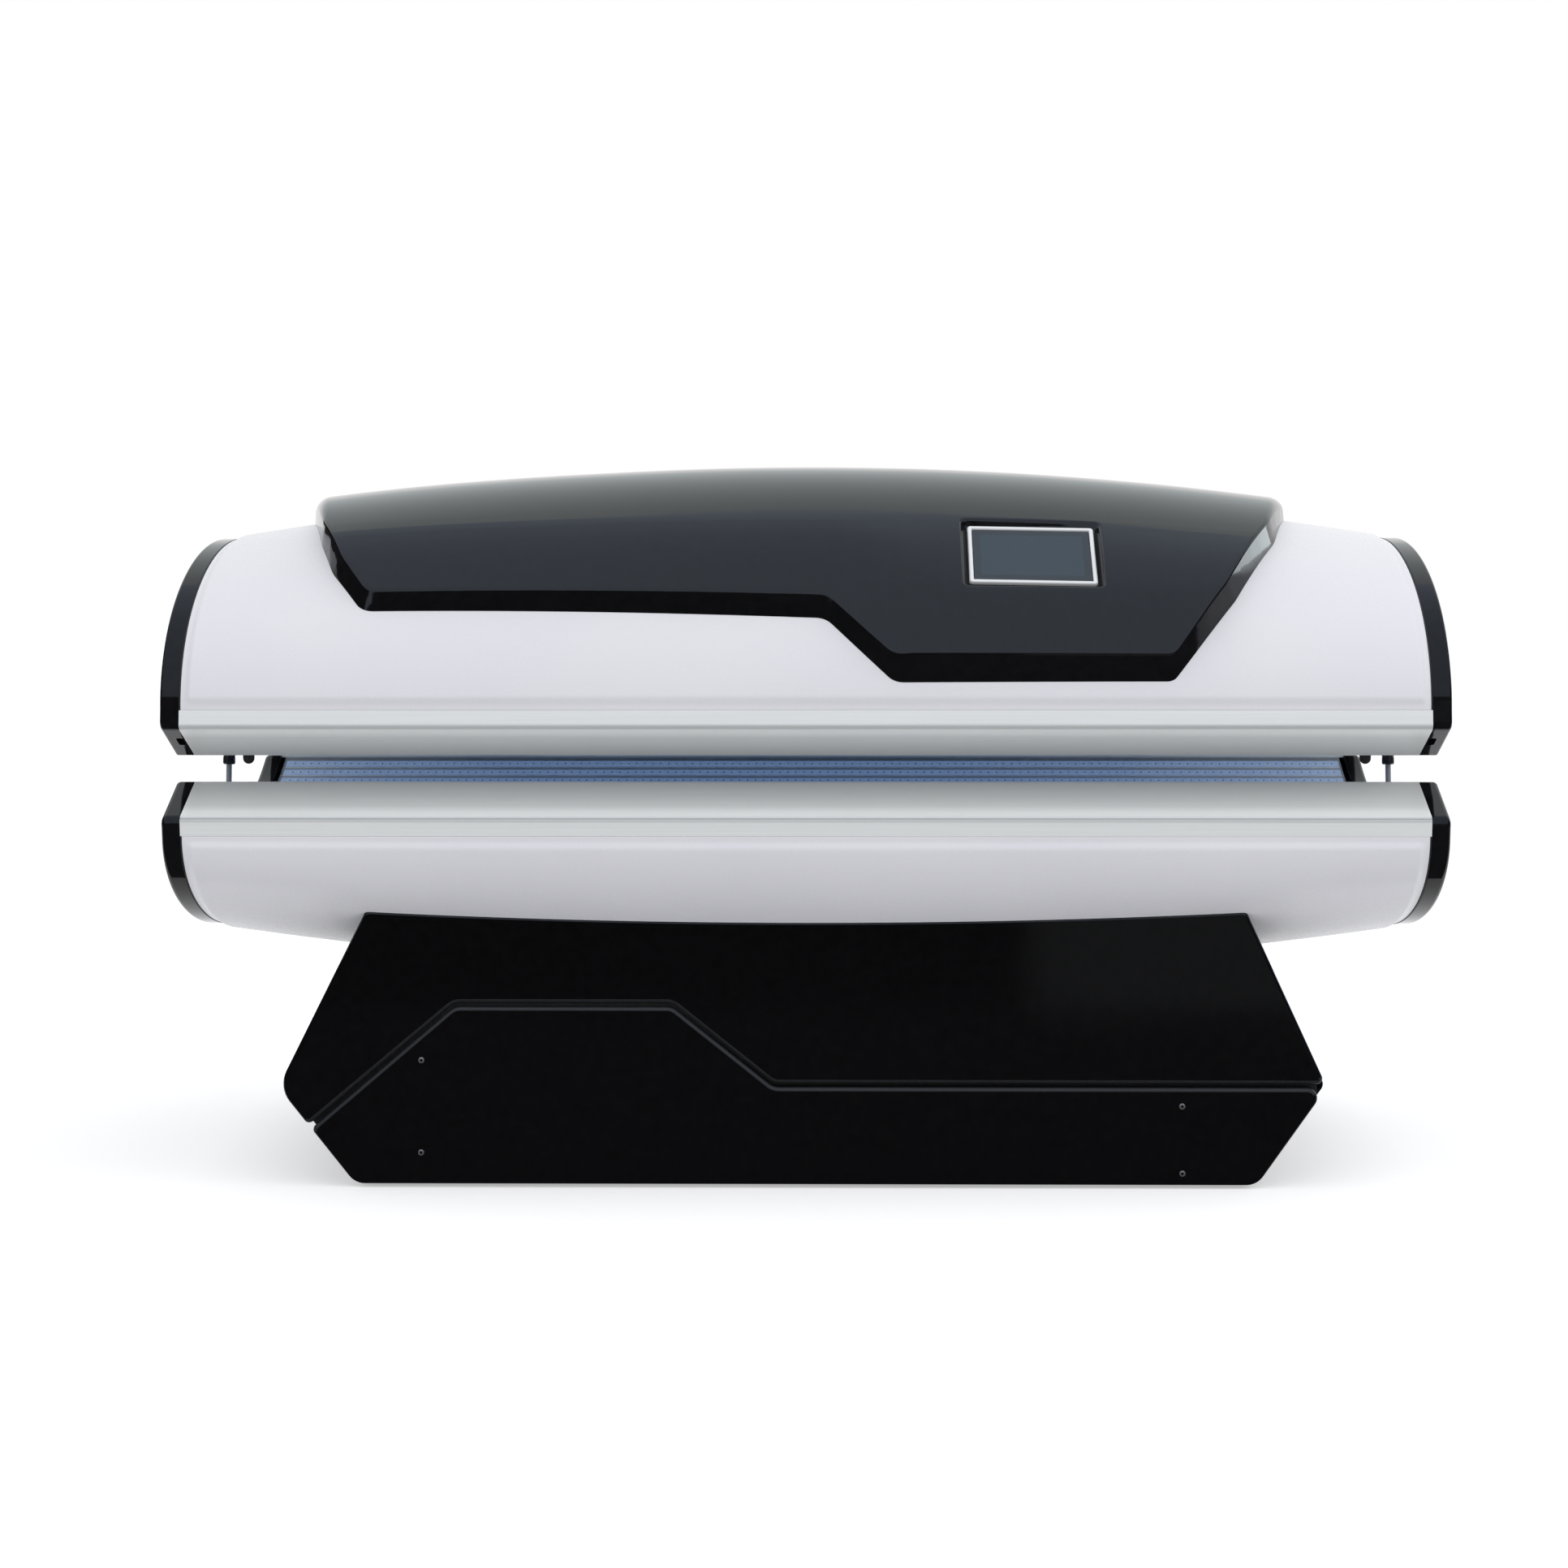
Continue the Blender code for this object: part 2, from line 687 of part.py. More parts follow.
def slot_cutters():
    """Boxes that open the ends of liners and trays where the struts run."""
    cutters = []
    for word, hand in (("left", -1), ("right", 1)):
        near = STRUT_X - STRUT_TUBE_RADIUS - STRUT_SLOT_CLEAR
        low = [min(hand * near, hand * BED_LENGTH), STRUT_SLOT_Y - STRUT_SLOT_WIDTH / 2, 0.0]
        high = [max(hand * near, hand * BED_LENGTH), STRUT_SLOT_Y + STRUT_SLOT_WIDTH / 2,
                2 * PARTING_Z]
        cutters.append(add_cutter("strut_slot_" + word, box_mesh("strut_slot", low, high)))
    return cutters


def make_liner(side, slots):
    _, body, parent = half_names(side)
    name = body + "_acrylic"
    middle = (0, PARTING_Z)
    mesh = strip_mesh(name, liner_section(side, LINER_WALL), -LINER_HALF, LINER_HALF, middle)
    part = add_part(name, mesh, "acrylic", parent)
    thicken(part, LINER_WALL)
    smooth(part)
    for slot in slots:
        cut(part, slot)


def tray_outline(side):
    """The ridged section of an LED tray: a plain back and a ridge between every two strips."""
    start = TRAY_START[side]
    back = liner_section(side, TRAY_BACK, start)
    length = sum((second - first).length for first, second in zip(back, back[1:]))
    strips = int(length / LED_PITCH)
    share = RIDGE_WIDTH / LED_PITCH
    floor = liner_section(side, TRAY_BACK - TRAY_WALL, start, strips)
    crest = liner_section(side, TRAY_BACK - TRAY_WALL - RIDGE_HEIGHT, start, strips)
    face = []
    for index in range(strips):
        face.append(crest[index])
        face.append(crest[index].lerp(crest[index + 1], share))
        face.append(floor[index].lerp(floor[index + 1], share))
        if index < strips - 1:
            face.append(floor[index + 1])
    face.append(floor[strips].lerp(floor[strips - 1], share))
    face.append(crest[strips].lerp(crest[strips - 1], share))
    face.append(crest[strips])
    return back + face[::-1]


def make_tray(side, slots):
    _, body, parent = half_names(side)
    name = body + "_led_tray"
    mesh = plate_mesh(name, [tray_outline(side)], 2 * LINER_HALF, ACROSS, -LINER_HALF)
    part = add_part(name, mesh, "led_board", parent)
    for slot in slots:
        cut(part, slot)


def rib_outline(side, x):
    """A crescent rib between the shell and the back of the LED tray, clear of both rails."""
    top = SEAM_REACH + RIB_FROM_RAIL
    outer = shell_section(side, x, -SHELL_WALL - RIB_CLEAR)
    inner = liner_section(side, TRAY_BACK + CLEAR, TRAY_START[side])
    outer = [point for point in outer if side * (point.y - PARTING_Z) >= top]
    inner = [point for point in inner if side * (point.y - PARTING_Z) >= top]
    level = PARTING_Z + side * top
    ends = shell_section(side, x, -SHELL_WALL - RIB_CLEAR)
    front = Vector((-height_reach(ends, level), level))
    rear = Vector((height_reach(ends, level), level))
    return [front] + outer + [rear] + inner[::-1]


def height_reach(path, level):
    """The Y at which the rear half of a path crosses one height."""
    for first, second in zip(path[len(path) // 2:], path[len(path) // 2 + 1:]):
        low, high = sorted((first.y, second.y))
        if low <= level <= high:
            share = (level - first.y) / (second.y - first.y)
            return first.x + (second.x - first.x) * share
    raise ValueError("the path does not cross this height")


def make_ribs(side):
    _, body, parent = half_names(side)
    places = (("left", -RIB_OUTER_X), ("middle", -RIB_WALL / 2), ("right", RIB_OUTER_X - RIB_WALL))
    for word, start in places:
        name = body + "_rib_" + word
        widest = max(abs(start), abs(start + RIB_WALL))
        mesh = plate_mesh(name, [rib_outline(side, widest)], RIB_WALL, ACROSS, start)
        add_part(name, mesh, "rib_aluminium", parent)


# Canopy hinges

def hinge_profile(side, web):
    """A leaf on a rear rail's slope, with the web and knuckle where asked for."""
    slope = math.atan2(RAIL_RISE, RAIL_REACH)
    along = Vector((math.cos(slope), math.sin(slope)))
    out = Vector((math.sin(slope), -math.cos(slope)))
    lip = Vector((LIP_Y, LIP_REACH))
    pin = Vector((HINGE_Y, 0.0)) - lip
    pin_along = pin.dot(along)
    pin_out = pin.dot(out)
    first = pin_along + LEAF_WEB / 2
    if web:
        corners = [
            (pin_along - LEAF_WEB / 2, CLEAR, 0.0),
            (first, CLEAR, 0.0),
            (first, pin_out, 0.0),
        ]
        for step in range(1, 8):
            turn = math.pi * step / 8
            corners.append((pin_along + KNUCKLE_RADIUS * math.cos(turn),
                            pin_out + KNUCKLE_RADIUS * math.sin(turn), 0.0))
        corners.append((pin_along - LEAF_WEB / 2, pin_out, 0.0))
    else:
        corners = [
            (first - LEAF_WALL, CLEAR, 0.0),
            (first + LEAF_REACH, CLEAR, 0.0),
            (first + LEAF_REACH, CLEAR + LEAF_WALL, 0.0),
            (first - LEAF_WALL, CLEAR + LEAF_WALL, 0.0),
        ]
    outline = []
    for a, b, _ in corners:
        place = lip + along * a + out * b
        outline.append(Vector((place.x, PARTING_Z + side * place.y)))
    return outline


def make_hinge(hand):
    word = "right" if hand > 0 else "left"
    middle = hand * HINGE_X
    bore = HINGE_PIN_RADIUS + HINGE_PIN_CLEAR
    half = HINGE_LENGTH / 2
    inner = KNUCKLE_LENGTH / 2
    for side, label, parent, spans in (
        (LOWER, "bed", None, ((-half, -inner - KNUCKLE_GAP), (inner + KNUCKLE_GAP, half))),
        (UPPER, "canopy", CANOPY, ((-inner, inner),)),
    ):
        name = "hinge_" + label + "_leaf_" + word
        leaf = plate_mesh(name, [hinge_profile(side, False)], HINGE_LENGTH, ACROSS, middle - half)
        part = add_part(name, leaf, "black_steel", parent)
        hole = circle(HINGE_Y, PARTING_Z, bore)
        for index, (low, high) in enumerate(spans):
            knuckle = plate_mesh(name, [hinge_profile(side, True), hole], high - low, ACROSS,
                                 middle + low)
            cut(part, add_cutter(name + "_knuckle_" + str(index), knuckle), "UNION")
    head = HINGE_PIN_HEAD / 2
    profile = [
        (0, half + head), (HINGE_PIN_HEAD, half + head), (HINGE_PIN_HEAD, half + CLEAR),
        (HINGE_PIN_RADIUS, half + CLEAR), (HINGE_PIN_RADIUS, -half - CLEAR),
        (HINGE_PIN_HEAD, -half - CLEAR), (HINGE_PIN_HEAD, -half - head), (0, -half - head),
    ]
    name = "hinge_pin_" + word
    pin = add_part(name, turned_mesh(name, profile, along_x(middle, HINGE_Y, PARTING_Z)), "chrome")
    smooth(pin)


# Gas struts

def strut_frame(hand, place):
    """Local -Z runs down the strut from a place on its axis."""
    lean = Vector((0, 0, -1)).rotation_difference(STRUT_AIM).to_matrix().to_4x4()
    return Matrix.Translation((hand * STRUT_X, place.y, place.z)) @ lean


def eye_mesh(name, hand, place, radius, bore):
    outlines = [circle(place.y, place.z, radius)]
    if bore:
        outlines.append(circle(place.y, place.z, bore))
    start = hand * STRUT_X - STRUT_EYE_WIDTH / 2
    return plate_mesh(name, outlines, STRUT_EYE_WIDTH, ACROSS, start)


def make_strut(hand):
    word = "right" if hand > 0 else "left"
    reach = (STRUT_FOOT - STRUT_TOP).length
    end = (STRUT_TOP.z - PARTING_Z + STRUT_TUBE_END_DROP) / -STRUT_AIM.z
    top = STRUT_EYE_RADIUS - STRUT_TUBE_WALL
    bore = STRUT_TUBE_RADIUS - STRUT_TUBE_WALL
    hole = STRUT_ROD_RADIUS + CLEAR
    ceiling = top + STRUT_TUBE_WALL + STRUT_STUD_RADIUS
    pivot_place = Vector((hand * STRUT_X, STRUT_TOP.y, STRUT_TOP.z))
    pivot = add_pivot("strut_pivot_" + word, pivot_place, CANOPY)
    profile = [
        (0, -top), (STRUT_TUBE_RADIUS, -top), (STRUT_TUBE_RADIUS, -end), (hole, -end),
        (hole, -end + STRUT_SEAL), (bore, -end + STRUT_SEAL), (bore, -ceiling), (0, -ceiling),
    ]
    name = "strut_tube_" + word
    tube = add_part(name, turned_mesh(name, profile, strut_frame(hand, STRUT_TOP)), "black_steel", pivot)
    stud_bore = STRUT_STUD_RADIUS + STRUT_STUD_CLEAR
    eye = eye_mesh(name + "_eye", hand, STRUT_TOP, STRUT_EYE_RADIUS, stud_bore)
    cut(tube, add_cutter(name + "_eye", eye), "UNION")
    smooth(tube)
    piston_top = ceiling + CLEAR
    piston = bore - CLEAR
    profile = [
        (0, -piston_top), (piston, -piston_top), (piston, -piston_top - PISTON_LENGTH),
        (STRUT_ROD_RADIUS, -piston_top - PISTON_LENGTH), (STRUT_ROD_RADIUS, -reach), (0, -reach),
    ]
    name = "strut_rod_" + word
    rod = add_part(name, turned_mesh(name, profile, strut_frame(hand, STRUT_TOP), 16), "chrome", pivot)
    eye = eye_mesh(name + "_eye", hand, STRUT_FOOT, ROD_EYE_RADIUS, 0.0)
    cut(rod, add_cutter(name + "_eye", eye), "UNION")
    smooth(rod)
    near = STRUT_X - STRUT_EYE_WIDTH / 2 - CLEAR - RIB_OUTER_X - CLEAR
    far = STRUT_X + STRUT_EYE_WIDTH / 2 - RIB_OUTER_X - CLEAR
    stud = STRUT_STUD_RADIUS
    head_profile = [
        (0, far), (stud, far), (stud, near), (2 * stud, near), (2 * stud, STRUT_FLANGE_WALL),
        (STRUT_FLANGE_RADIUS, STRUT_FLANGE_WALL), (STRUT_FLANGE_RADIUS, 0), (0, 0),
    ]
    foot_profile = [(0, near)] + head_profile[3:]
    for label, place, profile, parent in (
        ("strut_head_", STRUT_TOP, head_profile, CANOPY), ("strut_foot_", STRUT_FOOT, foot_profile, None),
    ):
        name = label + word
        seat = along_x(hand * (RIB_OUTER_X + CLEAR), place.y, place.z, hand)
        part = add_part(name, turned_mesh(name, profile, seat), "black_steel", parent)
        smooth(part)


def make_buffers():
    """Domed rubber buffers that hang under the canopy's front lip."""
    y = -LIP_Y + BUFFER_FROM_LIP
    fall = LAND_FALL * (BUFFER_FROM_LIP - BUFFER_RADIUS) / LAND_WIDTH
    top = PARTING_Z + LIP_REACH + fall - CLEAR
    shoulder = BUFFER_DROP - BUFFER_RADIUS
    profile = [(0, 0), (BUFFER_RADIUS, 0), (BUFFER_RADIUS, -shoulder)]
    for step in range(1, 5):
        turn = math.pi / 2 * step / 4
        profile.append((BUFFER_RADIUS * math.cos(turn), -shoulder - BUFFER_RADIUS * math.sin(turn)))
    profile[-1] = (0, -BUFFER_DROP)
    for word, hand in (("left", -1), ("right", 1)):
        name = "canopy_buffer_" + word
        mesh = turned_mesh(name, profile, Matrix.Translation((hand * BUFFER_X, y, top)), 16)
        smooth(add_part(name, mesh, "rubber", CANOPY))


# Hood and touch screen

def hood_outline():
    """The hood's edge as X and arc length round the shell, the step in its front edge included."""
    corners = (
        (HOOD_LEFT_X, HOOD_HIGH_EDGE),
        (HOOD_STEP_X, HOOD_STEP_EDGE),
        (HOOD_STEP_X + HOOD_STEP_RUN, HOOD_LOW_EDGE),
        (HOOD_RIGHT_X, HOOD_LOW_EDGE),
        (HOOD_RIGHT_TIP_X, HOOD_TIP),
        (HOOD_RIGHT_TIP_X, HOOD_TIP_REAR),
        (HOOD_RIGHT_X, HOOD_REAR_EDGE),
        (HOOD_LEFT_X, HOOD_REAR_EDGE),
        (HOOD_LEFT_TIP_X, HOOD_TIP_REAR),
        (HOOD_LEFT_TIP_X, HOOD_TIP),
    )
    return [(x, angle * HOOD_ARC) for x, angle in corners]


def hood_lift(angle):
    """How far the hood stands off the shell; it comes closer towards its low front edge."""
    share = (angle - HOOD_LOW_EDGE) / (HOOD_HIGH_EDGE - HOOD_LOW_EDGE)
    share = min(max(share, 0.0), 1.0)
    return HOOD_LOW_LIFT + (HOOD_LIFT - HOOD_LOW_LIFT) * share


def hood_surface():
    """The hood's skin: its outline inset twice for the skirt and shoulder, then wrapped round."""
    shape = bmesh.new()
    corners = [shape.verts.new((x, arc, 0)) for x, arc in hood_outline()]
    face = shape.faces.new(corners)
    for inset, share in ((HOOD_SKIRT, HOOD_SHOULDER_SHARE), (HOOD_SHOULDER, 1.0)):
        bmesh.ops.inset_region(shape, faces=[face], thickness=inset, use_boundary=True,
                                use_even_offset=True)
        for vert in face.verts:
            vert.co.z = share
    low_arc = HOOD_LOW_EDGE * HOOD_ARC
    high_arc = HOOD_REAR_EDGE * HOOD_ARC
    cuts = []
    for index in range(1, HOOD_X_CUTS + 1):
        share = index / (HOOD_X_CUTS + 1)
        x = HOOD_LEFT_TIP_X + (HOOD_RIGHT_TIP_X - HOOD_LEFT_TIP_X) * share
        cuts.append(((x, 0, 0), (1, 0, 0)))
    for index in range(1, HOOD_ANGLE_CUTS + 1):
        share = index / (HOOD_ANGLE_CUTS + 1)
        cuts.append(((0, low_arc + (high_arc - low_arc) * share, 0), (0, 1, 0)))
    for place, way in cuts:
        everything = shape.verts[:] + shape.edges[:] + shape.faces[:]
        bmesh.ops.bisect_plane(shape, geom=everything, dist=0.0005, plane_co=place, plane_no=way)
    for vert in shape.verts:
        angle = vert.co.y / HOOD_ARC
        lift = -HOOD_SEAT + (hood_lift(angle) + HOOD_SEAT) * vert.co.z
        vert.co = shell_lift(UPPER, vert.co.x, angle, lift)
    bmesh.ops.recalc_face_normals(shape, faces=shape.faces)
    shape.faces.ensure_lookup_table()
    if sum(item.normal.z for item in shape.faces) < 0:
        bmesh.ops.reverse_faces(shape, faces=shape.faces)
    return shape


def screen_frame(sink):
    """Local x along the screen, local y up its slope, local z out of the hood."""
    out = shell_normal(UPPER, SCREEN_X, SCREEN_ANGLE)
    along = Vector((1, 0, 0))
    along = (along - out * along.dot(out)).normalized()
    up = out.cross(along)
    place = shell_lift(UPPER, SCREEN_X, SCREEN_ANGLE, HOOD_LIFT - sink)
    frame = Matrix((along, up, out)).transposed().to_4x4()
    frame.translation = place
    return frame


def make_hood():
    shape = hood_surface()
    mesh = bpy.data.meshes.new("hood")
    shape.to_mesh(mesh)
    shape.free()
    part = add_part("hood", mesh, "black_gloss", CANOPY)
    thicken(part, HOOD_WALL)
    smooth(part)
    seat = add_cutter("hood_seat", shell_block("hood_seat", UPPER, -4 * SHELL_WALL, SCRIBE_GAP))
    cut(part, seat)
    opening = rectangle(0, 0, RECESS_WIDTH, RECESS_HEIGHT, RECESS_RADIUS)
    deep = HOOD_LIFT
    hole = plate_mesh("screen_hole", [opening], 2 * deep, screen_frame(0), -deep)
    cut(part, add_cutter("screen_hole", hole))
    vents = bmesh.new()
    for index in range(VENT_COUNT):
        x = (index - (VENT_COUNT - 1) / 2) * VENT_PITCH
        out = shell_normal(UPPER, x, VENT_ANGLE)
        made = bmesh.ops.create_cube(vents, size=1.0)["verts"]
        bmesh.ops.scale(vents, vec=(VENT_WIDTH, VENT_LENGTH, HOOD_LIFT), verts=made)
        lean = Matrix.Rotation(math.atan2(-out.y, out.z), 4, "X")
        place = Matrix.Translation(shell_lift(UPPER, x, VENT_ANGLE, HOOD_LIFT))
        bmesh.ops.transform(vents, matrix=place @ lean, verts=made)
    cut(part, add_cutter("hood_vents", mesh_from(vents, "hood_vents")))


def make_screen():
    width = RECESS_WIDTH - 2 * CLEAR
    height = RECESS_HEIGHT - 2 * CLEAR
    radius = RECESS_RADIUS - CLEAR
    rim = rectangle(0, 0, width, height, radius)
    floor = RECESS_DEPTH
    base = plate_mesh("screen_housing", [rim], floor + RECESS_WALL, screen_frame(0), -floor - RECESS_WALL)
    housing = add_part("screen_housing", base, "black_plastic", CANOPY)
    pocket = rectangle(0, 0, width - 2 * RECESS_WALL, height - 2 * RECESS_WALL, radius - RECESS_WALL)
    hollow = plate_mesh("screen_pocket", [pocket], 2 * floor, screen_frame(floor), 0)
    cut(housing, add_cutter("screen_pocket", hollow))
    trim = shell_block("screen_trim", UPPER, HOOD_LIFT - HOOD_WALL / 2, 3 * HOOD_LIFT)
    cut(housing, add_cutter("screen_trim", trim))
    frame = screen_frame(floor)
    outer = rectangle(0, 0, BEZEL_WIDTH, BEZEL_HEIGHT, BEZEL_RADIUS)
    inner_width = BEZEL_WIDTH - 2 * BEZEL_BORDER
    inner_height = BEZEL_HEIGHT - 2 * BEZEL_BORDER
    inner = rectangle(0, 0, inner_width, inner_height)
    bezel = plate_mesh("screen_bezel", [outer, inner], BEZEL_THICKNESS, frame, CLEAR)
    add_part("screen_bezel", bezel, "silver_bezel", CANOPY)
    pane = rectangle(0, 0, inner_width - 2 * CLEAR, inner_height - 2 * CLEAR)
    glass = plate_mesh("screen_glass", [pane], GLASS_THICKNESS, frame, CLEAR)
    add_part("screen_glass", glass, "screen_glass", CANOPY)


# Base

def base_edge_x(z):
    """The half length of the base's hexagon at one height, carried on past its top corner."""
    if z >= BASE_WAIST_Z:
        share = (z - BASE_WAIST_Z) / (BASE_TOP_Z - BASE_WAIST_Z)
        return BASE_WAIST_HALF + (BASE_TOP_HALF - BASE_WAIST_HALF) * share
    share = (z - BASE_BOTTOM_Z) / (BASE_WAIST_Z - BASE_BOTTOM_Z)
    return BASE_BOTTOM_HALF + (BASE_WAIST_HALF - BASE_BOTTOM_HALF) * share


def panel_top_z():
    return PARTING_Z - SEAM_REACH - RISE[LOWER] / 4


def groove_line(shift):
    """The corners of the wavy groove between the front panels, moved up or down by a shift."""
    end_z = GROOVE_LOW_Z + shift
    start_z = GROOVE_START_Z + shift
    return [
        (-base_edge_x(start_z), start_z, 0.0),
        (GROOVE_HIGH_LEFT_X, GROOVE_HIGH_Z + shift, GROOVE_RADIUS),
        (GROOVE_HIGH_RIGHT_X, GROOVE_HIGH_Z + shift, GROOVE_RADIUS),
        (GROOVE_LOW_X, GROOVE_LOW_Z + shift, GROOVE_RADIUS),
        (base_edge_x(end_z), end_z, 0.0),
    ]


def front_panel_meshes():
    top = panel_top_z()
    upper = groove_line(PANEL_GROOVE / 2)
    lower = groove_line(-PANEL_GROOVE / 2)
    upper_corners = upper + [
        (BASE_WAIST_HALF, BASE_WAIST_Z, 0.0),
        (base_edge_x(top), top, 0.0),
        (-base_edge_x(top), top, 0.0),
        (-BASE_WAIST_HALF, BASE_WAIST_Z, BASE_CORNER_RADIUS),
    ]
    if upper[-1][1] >= BASE_WAIST_Z:
        del upper_corners[len(upper)]
    lower_corners = lower[::-1] + [
        (-BASE_BOTTOM_HALF, BASE_BOTTOM_Z, BASE_CORNER_RADIUS),
        (BASE_BOTTOM_HALF, BASE_BOTTOM_Z, BASE_CORNER_RADIUS),
    ]
    for name, corners in (("base_front_panel", upper_corners), ("base_service_panel", lower_corners)):
        mesh = plate_mesh(name, [rounded(corners)], PANEL_WALL, UPRIGHT, BASE_HALF - PANEL_WALL)
        round_rim(mesh, lambda place: place.y < -BASE_HALF + 0.001, PANEL_EDGE_RADIUS)
        yield name, mesh


def grille_cutter(middle_x):
    """Level slots through the back panel that together fill the circle in front of a fan."""
    slots = bmesh.new()
    for index in range(GRILLE_SLOTS):
        offset = (index - (GRILLE_SLOTS - 1) / 2) * GRILLE_PITCH
        half = math.sqrt(GRILLE_RADIUS ** 2 - (abs(offset) + GRILLE_SLOT_WIDTH / 2) ** 2)
        made = bmesh.ops.create_cube(slots, size=1.0)["verts"]
        bmesh.ops.scale(slots, vec=(2 * half, 4 * PANEL_WALL, GRILLE_SLOT_WIDTH), verts=made)
        bmesh.ops.translate(slots, vec=(middle_x, BASE_HALF, FAN_Z + offset), verts=made)
    return add_cutter("grille_cutter", mesh_from(slots, "grille_cutter"))


def back_panel_mesh():
    top = panel_top_z()
    corners = [
        (-BASE_BOTTOM_HALF, BASE_BOTTOM_Z, BASE_CORNER_RADIUS),
        (BASE_BOTTOM_HALF, BASE_BOTTOM_Z, BASE_CORNER_RADIUS),
        (BASE_WAIST_HALF, BASE_WAIST_Z, BASE_CORNER_RADIUS),
        (base_edge_x(top), top, 0.0),
        (-base_edge_x(top), top, 0.0),
        (-BASE_WAIST_HALF, BASE_WAIST_Z, BASE_CORNER_RADIUS),
    ]
    outlines = [rounded(corners)]
    outlines.append(rectangle(INLET_X, INLET_Z, INLET_WIDTH + 2 * CLEAR, INLET_HEIGHT + 2 * CLEAR))
    return plate_mesh("base_back_panel", outlines, PANEL_WALL, UPRIGHT, -BASE_HALF)


def end_panel_mesh(hand):
    """A panel folded at the base's waist, flush with the ends of the front and back panels."""
    top = panel_top_z()
    outer = [(BASE_BOTTOM_HALF, BASE_BOTTOM_Z), (BASE_WAIST_HALF, BASE_WAIST_Z), (base_edge_x(top), top)]
    shift = END_PANEL_WALL / math.cos(math.atan2(BASE_WAIST_HALF - BASE_BOTTOM_HALF,
                                                 BASE_WAIST_Z - BASE_BOTTOM_Z))
    corners = [(x, z, 0.0) for x, z in outer]
    corners += [(x - shift, z, 0.0) for x, z in outer[::-1]]
    corners[1] = (BASE_WAIST_HALF, BASE_WAIST_Z, BASE_CORNER_RADIUS)
    outline = [Vector((hand * a, b)) for a, b in rounded(corners)]
    length = 2 * FRAME_HALF
    return plate_mesh("end_panel", [outline], length, UPRIGHT, -FRAME_HALF)


def make_base_panels(scribe):
    pieces = list(front_panel_meshes())
    pieces.append(("base_back_panel", back_panel_mesh()))
    pieces.append(("base_end_panel_left", end_panel_mesh(-1)))
    pieces.append(("base_end_panel_right", end_panel_mesh(1)))
    for name, mesh in pieces:
        part = add_part(name, mesh, "black_gloss")
        smooth(part)
        cut(part, scribe)
        if name == "base_back_panel":
            cut(part, grille_cutter(-FAN_X))
            cut(part, grille_cutter(FAN_X))


def frame_boxes():
    """Low and high corners of the tubes, saddles and floor sheet that are welded into one frame."""
    tube = FRAME_TUBE
    edge = FRAME_HALF
    low = FRAME_BOTTOM_Z
    top = panel_top_z()
    boxes = []
    for hand in (-1, 1):
        y_low, y_high = sorted((hand * edge, hand * (edge - tube)))
        boxes.append(((-FRAME_LENGTH / 2, y_low, low), (FRAME_LENGTH / 2, y_high, low + tube)))
        x = hand * FRAME_POST_X
        inner = edge - tube / 2
        boxes.append(((x - tube / 2, -inner, low), (x + tube / 2, inner, low + tube)))
        for depth in (-1, 1):
            y_low, y_high = sorted((depth * edge, depth * (edge - tube)))
            boxes.append(((x - tube / 2, y_low, low + tube / 2), (x + tube / 2, y_high, top)))
        saddle_low = PARTING_Z - SEAM_REACH - RISE[LOWER] - SADDLE_DROP
        half = SADDLE_WALL / 2
        boxes.append(((x - half, -inner, saddle_low), (x + half, inner, top)))
    sheet = low + tube - TRAY_FLOOR_WALL / 2
    boxes.append(((-FRAME_POST_X, -edge + tube / 2, sheet), (FRAME_POST_X, edge - tube / 2,
                                                             sheet + TRAY_FLOOR_WALL)))
    return boxes


def make_base_frame(scribe):
    boxes = frame_boxes()
    part = add_part("base_frame", box_mesh("base_frame", *boxes[0]), "black_steel")
    for index, (low, high) in enumerate(boxes[1:]):
        cut(part, add_cutter("frame_tube_" + str(index), box_mesh("frame_tube", low, high)), "UNION")
    cut(part, scribe)


def make_feet():
    profile = [(0, FRAME_BOTTOM_Z - CLEAR), (FOOT_RADIUS - FOOT_TAPER, FRAME_BOTTOM_Z - CLEAR),
               (FOOT_RADIUS, FOOT_TAPER), (FOOT_RADIUS - FOOT_TAPER / 2, 0), (0, 0)]
    y = FRAME_HALF - FOOT_RADIUS - FOOT_FROM_PANEL
    for depth, place in (("front", -y), ("rear", y)):
        for word, hand in (("left", -1), ("right", 1)):
            name = "foot_" + depth + "_" + word
            seat = Matrix.Translation((hand * FRAME_POST_X, place, 0))
            smooth(add_part(name, turned_mesh(name, profile, seat), "rubber"))


def make_boxes():
    """Power supplies and controller on the floor sheet of the frame."""
    floor = FRAME_BOTTOM_Z + FRAME_TUBE + TRAY_FLOOR_WALL / 2 + CLEAR
    for name, size, x in (
        ("power_supply_left", SUPPLY_SIZE, -SUPPLY_X), ("power_supply_right", SUPPLY_SIZE, SUPPLY_X),
        ("controller_box", CONTROLLER_SIZE, 0.0),
    ):
        low = (x - size[0] / 2, -size[1] / 2, floor)
        high = (x + size[0] / 2, size[1] / 2, floor + size[2])
        mesh = box_mesh(name, low, high)
        round_rim(mesh, lambda place, level=floor: place.z > level + 0.001, BOX_EDGE_RADIUS)
        add_part(name, mesh, "zinc_box")


# Fans and mains inlet

